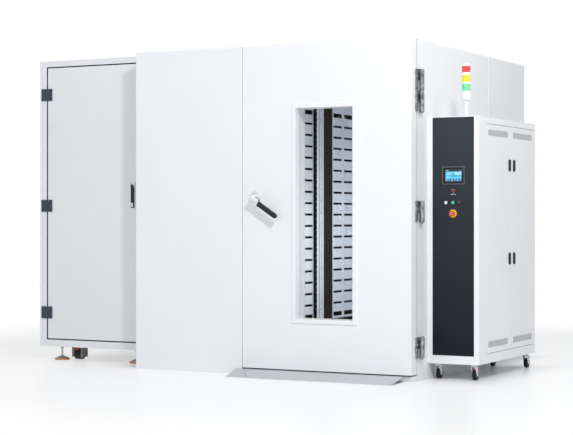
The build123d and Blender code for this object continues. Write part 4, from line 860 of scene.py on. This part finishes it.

# Screws of the machine cabinet's hinges, two on each leaf, their cross recesses painted shade
MACHINE_HINGES = (403.0, 1294.0, 2220.0)
PLATE_HALF = 49.5
LEAF_PROUD = 7.0
SCREW_PROFILE = ((5.2, 0.0), (5.2, 0.5), (4.4, 1.2), (2.4, 1.5))
SCREW_FROM_END = 20.5
SCREW_FROM_SIDE = 14.0
CROSS_ARMS = ((2.6, 0.5), (0.5, 2.6))
CROSS_PROUD = (1.6, 1.4)
cabinet_door_low, cabinet_door_high = box_mm("machine_door")
leaf_face = cabinet_door_low.y - LEAF_PROUD
cross_y = (leaf_face - CROSS_PROUD[0], leaf_face - CROSS_PROUD[1])
for leaves, body in (("machine_frame_leaves", "root"), ("machine_door_leaves", "machine_door")):
    leaf_low, leaf_high = box_mm(leaves)
    screw_x = leaf_low.x + SCREW_FROM_SIDE if body == "root" else leaf_high.x - SCREW_FROM_SIDE
    screws = bmesh.new()
    for hinge_z in MACHINE_HINGES:
        for screw_z in around(hinge_z, PLATE_HALF - SCREW_FROM_END):
            add_turned(screws, (screw_x, leaf_face, screw_z), TO_FRONT, SCREW_PROFILE)
            for across, along in CROSS_ARMS:
                add_block(screws, around(screw_x, across), cross_y, around(screw_z, along), 0.0, 1)
    new_piece("screws_" + leaves, screws, [screw_black, seam_black_and_recess_shade], body)

# Hexagon sockets in the bolt heads of the door hinges, each hexagon painted shade: the door's bolts stand
# closer together
DOOR_HINGES = (245.0, 1240.0, 2046.0, 2203.0)
BOLT_SPREAD = 52.5
DOOR_BOLTS_CLOSER = 31.5
BOLT_INSET = 16.0
SOCKET_PROFILE = ((5.0, 0.0), (4.8, 0.4), (3.6, 0.45))
HEXAGON_PROFILE = ((3.4, 0.0), (3.3, 0.1))
door_low, door_high = box_mm("door_slab")
door_leaf_front = box_mm("hinge_door_leaves")[0].y
wall_leaf_back = box_mm("hinge_wall_leaves")[1].y
BOLTS = (
    ("hinge_door_leaves", "door", BOLT_SPREAD - DOOR_BOLTS_CLOSER, 15.0, door_leaf_front + BOLT_INSET),
    ("hinge_wall_leaves", "root", BOLT_SPREAD, 12.0, wall_leaf_back - BOLT_INSET),
)
for leaves, body, bolt_spread, bolt_proud, bolt_y in BOLTS:
    sockets = bmesh.new()
    for hinge_z in DOOR_HINGES:
        for bolt_z in around(hinge_z, bolt_spread):
            bolt = Vector((door_high.x + bolt_proud, bolt_y, bolt_z))
            add_turned(sockets, bolt, TO_RIGHT, SOCKET_PROFILE)
            hexagon = bolt + Vector(TO_RIGHT) * SOCKET_PROFILE[-1][1]
            add_turned(sockets, hexagon, TO_RIGHT, HEXAGON_PROFILE, 6, 1)
    new_piece("sockets_" + leaves, sockets, [chrome, seam_black_and_recess_shade], body)

# Black edge trim round the machine cabinet's opening, broken where the hinge leaves lie on the frame; its
# width also stands in for the shade in the door gap, as painted shade
# Width that also lays painted shade along the door gap
TRIM_WIDTH = 9.5
TRIM_PROUD = 1.0
TRIM_DEPTH = 10.0
TRIM_CLEAR = 0.6
TRIM_EDGE = 0.8
HINGE_CLEAR = 1.0
trim_y = (cabinet_door_low.y - TRIM_PROUD, cabinet_door_low.y + TRIM_DEPTH)
inner_x = (cabinet_door_low.x - TRIM_CLEAR, cabinet_door_high.x + TRIM_CLEAR)
inner_z = (cabinet_door_low.z - TRIM_CLEAR, cabinet_door_high.z + TRIM_CLEAR)
outer_z = (inner_z[0] - TRIM_WIDTH, inner_z[1] + TRIM_WIDTH)
stops = [outer_z[0]]
for hinge_z in MACHINE_HINGES:
    stops += around(hinge_z, PLATE_HALF + HINGE_CLEAR)
stops.append(outer_z[1])
seal = bmesh.new()
for span in zip(stops[::2], stops[1::2]):
    add_block(seal, (inner_x[0] - TRIM_WIDTH, inner_x[0]), trim_y, span, TRIM_EDGE)
add_block(seal, (inner_x[1], inner_x[1] + TRIM_WIDTH), trim_y, outer_z, TRIM_EDGE)
for span in ((outer_z[0], inner_z[0]), (inner_z[1], outer_z[1])):
    add_block(seal, inner_x, trim_y, span, TRIM_EDGE)
new_piece("machine_door_trim", seal, [rubber])

# Lip seal in the gap between the door's edge and the frame, on the hinge side
LIP_CLEAR_X = (10.0, 1.0)
LIP_CLEAR_Y = 0.3
LIP_CLEAR_Z = (2.0, 4.0)
LIP_EDGE = 0.5
gasket_low, gasket_high = box_mm("door_gasket")
lip = bmesh.new()
add_block(
    lip,
    (gasket_high.x + LIP_CLEAR_X[0], door_high.x - LIP_CLEAR_X[1]),
    (gasket_low.y + LIP_CLEAR_Y, gasket_high.y - LIP_CLEAR_Y),
    (door_low.z + LIP_CLEAR_Z[0], door_high.z - LIP_CLEAR_Z[1]),
    LIP_EDGE,
)
new_piece("door_lip_seal", lip, [rubber], "door")

# Lock barrel with its swing cover, low on the machine cabinet's handle, its keyway slit painted shade
LOCK_Z = 1298.0
COVER_RADIUS = 8.5
COVER_HALF = 9.0
COVER_THICK = 1.4
COVER_STEPS = 12
BARREL_PROFILE = ((6.5, 0), (6.0, 1.2))
SLIT_HALF = (0.8, 3.5)
SLIT_PROUD = (2.8, 2.6)
lever_low, lever_high = box_mm("machine_handle_lever")
lock_x = middle_of(lever_low, lever_high).x
barrel_z = LOCK_Z + COVER_HALF
cover_outline = []
for end_z, first_angle in ((LOCK_Z + COVER_HALF, 0), (LOCK_Z - COVER_HALF, 180)):
    for step in range(COVER_STEPS + 1):
        angle = math.radians(first_angle + 180 / COVER_STEPS * step)
        cover_outline.append(on_circle(Vector((lock_x, 0, end_z)), COVER_RADIUS, angle))
slit_y = (lever_low.y - SLIT_PROUD[0], lever_low.y - SLIT_PROUD[1])
barrel = bmesh.new()
add_plate(barrel, cover_outline, lever_low.y, COVER_THICK)
add_turned(barrel, (lock_x, lever_low.y - COVER_THICK, barrel_z), TO_FRONT, BARREL_PROFILE, 28)
add_block(barrel, around(lock_x, SLIT_HALF[0]), slit_y, around(barrel_z, SLIT_HALF[1]), 0.0, 1)
new_piece("handle_lock", barrel, [chrome, seam_black_and_recess_shade], "machine_handle_lever")

# Red levers of the jack casters, each a head and a tongue: reach from the housing's front, height, edge
JACK_HALF = HOUSING_HALF / MM
JACK_DEPTH = 74.0
JACK_LEVER_HALF = 12.5
JACK_LEVER_PARTS = (((-6, 8), (80, 96), 2.0), ((-12, -3), (76, 84), 1.5))
jacks_low, jacks_high = box_mm("machine_casters")
jack_levers = bmesh.new()
for jack_x in (jacks_low.x + JACK_HALF, jacks_high.x - JACK_HALF):
    for jack_front in (jacks_low.y, jacks_high.y - JACK_DEPTH):
        for reach, lever_z, edge in JACK_LEVER_PARTS:
            lever_y = (jack_front + reach[0], jack_front + reach[1])
            add_block(jack_levers, around(jack_x, JACK_LEVER_HALF), lever_y, lever_z, edge)
new_piece("jack_levers", jack_levers, [lever_red])

# Marks of the grooved post: pairs of holes, and a small slot at each shelf pitch, all painted shade
SHELF_PITCH = 93.7
POST_PROUD = 28.0
HOLE_HEIGHTS = (430.0, 1230.0, 2014.0)
HOLE_PLACES = (-31.0, 19.0)
MARK_DEPTH = 0.15
HOLE_PROFILE = ((5.5, 0.0), (5.4, MARK_DEPTH))
MARKS = 19
FIRST_MARK = 400.0
MARK_SIDES = (29.5, 33.5)
MARK_HALF = 8.0
post_face = duct_face / MM + POST_PROUD
marks = bmesh.new()
for hole_z in HOLE_HEIGHTS:
    for hole_y in HOLE_PLACES:
        add_turned(marks, (post_face, hole_y, hole_z), TO_RIGHT, HOLE_PROFILE, 20)
for mark in range(MARKS):
    mark_z = around(FIRST_MARK + mark * SHELF_PITCH, MARK_HALF)
    add_block(marks, (post_face, post_face + MARK_DEPTH), MARK_SIDES, mark_z)
new_piece("post_marks", marks, [seam_black_and_recess_shade])

# Wire hooks hung in the slots of the rear duct sheet: (row of slots, places along the wall)
WIRE_RADIUS = 2.2
FIRST_ROW = 377.0
SLOT_HALF = 9.0
HOOK_SWINGS = (-0.25, 0.35)
HOOK_ROWS = (
    (18, (415, 540)),
    (15, (415,)),
    (13, (425, 524)),
    (10, (425, 564)),
    (9, (425,)),
    (8, (554,)),
    (5, (435, 544)),
)
HOOK_LINE = (
    (-8, -20),
    (-9, 2),
    (-2, 5),
    (6, 2),
    (7, -18),
    (9, -38),
    (15, -54),
    (28, -52),
    (33, -36),
    (28, -28),
)
hooks = [(row, hook_y) for row, places in HOOK_ROWS for hook_y in places]
for number, (row, hook_y) in enumerate(hooks):
    curve = bpy.data.curves.new(f"slot_hook_{number}", "CURVE")
    curve.dimensions = "3D"
    curve.bevel_depth = WIRE_RADIUS * MM
    curve.bevel_resolution = 3
    line = curve.splines.new("NURBS")
    line.points.add(len(HOOK_LINE) - 1)
    lower_edge = FIRST_ROW + row * SHELF_PITCH - SLOT_HALF
    swing = HOOK_SWINGS[number % 2]
    for point, (out, up) in zip(line.points, HOOK_LINE):
        sideways = hook_y - swing * min(up, 0)
        point.co = (duct_face + out * MM, sideways * MM, (lower_edge + up) * MM, 1.0)
    line.order_u = 4
    line.use_endpoint_u = True
    curve.materials.append(wire_steel)
    hook = bpy.data.objects.new(f"slot_hook_{number}", curve)
    bpy.context.scene.collection.objects.link(hook)
    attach(hook, "root")

# Joint between the ramp's two sheets, as a fine dark line down its slope: (x, share of the way down)
RAMP_TOE = 3.0
RAMP_SEAM = ((-203.0, 0.0), (-39.4, 1.0))
SEAM_HALF = 1.4
SEAM_PROUD = 0.15
ramp_low, ramp_high = box_mm("entry_ramp")
seam = bmesh.new()
seam_corners = []
for seam_x, down in RAMP_SEAM:
    seam_y = part_way((ramp_high.y, ramp_low.y), down)
    seam_z = part_way((ramp_high.z, RAMP_TOE), down) + SEAM_PROUD
    for side_x in around(seam_x, SEAM_HALF):
        seam_corners.append(seam.verts.new(Vector((side_x, seam_y, seam_z)) * MM))
first, second, third, fourth = seam_corners
seam.faces.new((first, second, fourth, third))
new_piece("ramp_seam", seam, [seam_black_and_recess_shade])

# Fronts of the devices on the mounting plate: a raised nose, a lever and its terminal slots, the slots
# painted shade
DEVICE_ROWS = 4
DEVICE_COLUMNS = 16
DEVICE_PITCH = 56.0
DEVICE_ROW = 300.0
NOSE_HALF = (22.0, 26.0)
NOSE_PROUD = 7.0
LEVER_HALF = (6.0, 9.0)
LEVER_PROUD = 7.0
DEVICE_EDGE = 1.2
TERMINAL_PLACES = (-14.0, 0.0, 14.0)
TERMINAL_SPREAD = 42.0
TERMINAL_HALF = 4.0
TERMINAL_PROUD = 0.3
LEVERS_IN_GROUP = 4
plate_low, plate_high = box_mm("mounting_plate")
plate_middle = middle_of(plate_low, plate_high)
nose_x = (plate_high.x, plate_high.x + NOSE_PROUD)
device_lever_x = (nose_x[1], nose_x[1] + LEVER_PROUD)
terminal_x = (plate_high.x, plate_high.x + TERMINAL_PROUD)
fronts = bmesh.new()
for row in range(DEVICE_ROWS):
    for column in range(DEVICE_COLUMNS):
        device_y = plate_middle.y + (column - (DEVICE_COLUMNS - 1) / 2) * DEVICE_PITCH
        device_z = plate_middle.z + (row - (DEVICE_ROWS - 1) / 2) * DEVICE_ROW
        nose_sides = (around(device_y, NOSE_HALF[0]), around(device_z, NOSE_HALF[1]))
        add_block(fronts, nose_x, *nose_sides, DEVICE_EDGE)
        lever_sides = (around(device_y, LEVER_HALF[0]), around(device_z, LEVER_HALF[1]))
        lever_index = 1 if (row + column // LEVERS_IN_GROUP) % 2 else 2
        add_block(fronts, device_lever_x, *lever_sides, DEVICE_EDGE, lever_index)
        for terminal_z in around(device_z, TERMINAL_SPREAD):
            for place in TERMINAL_PLACES:
                terminal_y = around(device_y + place, TERMINAL_HALF)
                add_block(fronts, terminal_x, terminal_y, around(terminal_z, TERMINAL_HALF), 0.0, 2)
new_piece("device_fronts", fronts, [device_grey, lever_blue, seam_black_and_recess_shade])

# Floor: a pale disc that turns plain white a little way from the object
FLOOR_MIDDLE = (-0.35, -0.1)
FLOOR_RADIUS = 14.0
FLOOR_DROP = 0.0005
FLOOR_ROUGHNESS = 0.32
FLOOR_MIRROR = 0.35
NEAR_FADE = 0.3
NEAR_SHARE = 0.52
FAR_FADE = 4.5


def seen_ray(tree):
    """1 for rays that see the surface from the camera, or in metal or through glass, else 0."""
    path = tree.nodes.new("ShaderNodeLightPath")
    total = path.outputs["Is Camera Ray"]
    for other in ("Is Glossy Ray", "Is Transmission Ray"):
        total = arithmetic(tree, "MAXIMUM", total, path.outputs[other])
    return total


def distance_from(tree, place, low, high):
    """How far a place on the floor is from a rectangle, below 0 inside it."""
    sides = []
    for axis, first, last in (("X", low[0], high[0]), ("Y", low[1], high[1])):
        off_middle = arithmetic(tree, "SUBTRACT", place[axis], (first + last) / 2)
        reach = arithmetic(tree, "ABSOLUTE", off_middle)
        sides.append(arithmetic(tree, "SUBTRACT", reach, (last - first) / 2))
    return arithmetic(tree, "MAXIMUM", *sides)


def floor_material():
    """A pale floor that keeps the object's close shadow and turns plain white further out."""
    material, tree, shader, output = new_material("floor")
    feed(tree, shader.inputs["Base Color"], FLOOR_PALE)
    shader.inputs["Roughness"].default_value = FLOOR_ROUGHNESS
    shader.inputs["Specular IOR Level"].default_value = FLOOR_MIRROR
    geometry = tree.nodes.new("ShaderNodeNewGeometry")
    split = tree.nodes.new("ShaderNodeSeparateXYZ")
    tree.links.new(geometry.outputs["Position"], split.inputs["Vector"])
    footprints = ((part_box("left_wall")[0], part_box("right_wall")[1]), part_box("control_casing"))
    gaps = [distance_from(tree, split.outputs, low, high) for low, high in footprints]
    gap = arithmetic(tree, "MINIMUM", *gaps)
    near = map_range(tree, gap, 0.0, NEAR_FADE, high=NEAR_SHARE, smooth=True)
    far = map_range(tree, gap, NEAR_FADE, FAR_FADE, smooth=True)
    share = arithmetic(tree, "MAXIMUM", near, far)
    factor = arithmetic(tree, "MULTIPLY", share, seen_ray(tree))
    white = tree.nodes.new("ShaderNodeEmission")
    mixed = blend_shader(tree, factor, shader.outputs["BSDF"], white.outputs["Emission"])
    tree.links.new(mixed, output.inputs["Surface"])
    return material


bpy.ops.mesh.primitive_circle_add(vertices=96, radius=FLOOR_RADIUS, fill_type="NGON")
floor = bpy.context.object
floor.name = "studio_floor"
floor.location = (*FLOOR_MIDDLE, -FLOOR_DROP)
floor.data.materials.append(floor_material())

# Surroundings: plain white to look at, and a softer light on the object
AMBIENT = 0.565
world = bpy.data.worlds.new("studio")
bpy.context.scene.world = world
world.use_nodes = True
world_tree = world.node_tree
world_tree.nodes.clear()
skies = []
for sky_colour, strength in ((AMBIENT_WHITE, AMBIENT), (PLAIN_WHITE, 1.0)):
    sky = world_tree.nodes.new("ShaderNodeBackground")
    feed(world_tree, sky.inputs["Color"], sky_colour)
    sky.inputs["Strength"].default_value = strength
    skies.append(sky.outputs["Background"])
world_output = world_tree.nodes.new("ShaderNodeOutputWorld")
sky_mix = blend_shader(world_tree, seen_ray(world_tree), *skies)
world_tree.links.new(sky_mix, world_output.inputs["Surface"])


def soft_light(name, place, target, size, power):
    """A square soft light at a place, turned to a target; sizes in metres, power in watts."""
    lamp = bpy.data.lights.new(name, "AREA")
    lamp.shape = "SQUARE"
    lamp.size = size
    lamp.energy = power
    lamp_object = bpy.data.objects.new(name, lamp)
    bpy.context.scene.collection.objects.link(lamp_object)
    lamp_object.location = place
    direction = Vector(target) - Vector(place)
    lamp_object.rotation_euler = direction.to_track_quat("-Z", "Y").to_euler()


soft_light("key", place=(4.6, -6.0, 5.35), target=(0.3, -0.9, 1.2), size=0.7, power=255)
soft_light("front_fill", place=(-2.0, -9.5, 5.2), target=(-0.6, -1.2, 1.2), size=5.0, power=120)
soft_light("side_top", place=(3.2, -1.4, 4.2), target=(1.2, -0.9, 2.2), size=1.0, power=22)
soft_light("inside", place=(0.95, 0.1, 1.0), target=(-0.3, 0.1, 1.25), size=0.9, power=14)

# Camera at the photograph's place, level and turned to the left
camera = bpy.data.cameras.new("photo_camera")
camera.lens = CAMERA_LENS
camera_object = bpy.data.objects.new("photo_camera", camera)
bpy.context.scene.collection.objects.link(camera_object)
camera_object.location = CAMERA_PLACE
camera_object.rotation_euler = (math.radians(90), 0, math.radians(CAMERA_YAW))
bpy.context.scene.camera = camera_object
bpy.context.scene.view_settings.view_transform = "Standard"
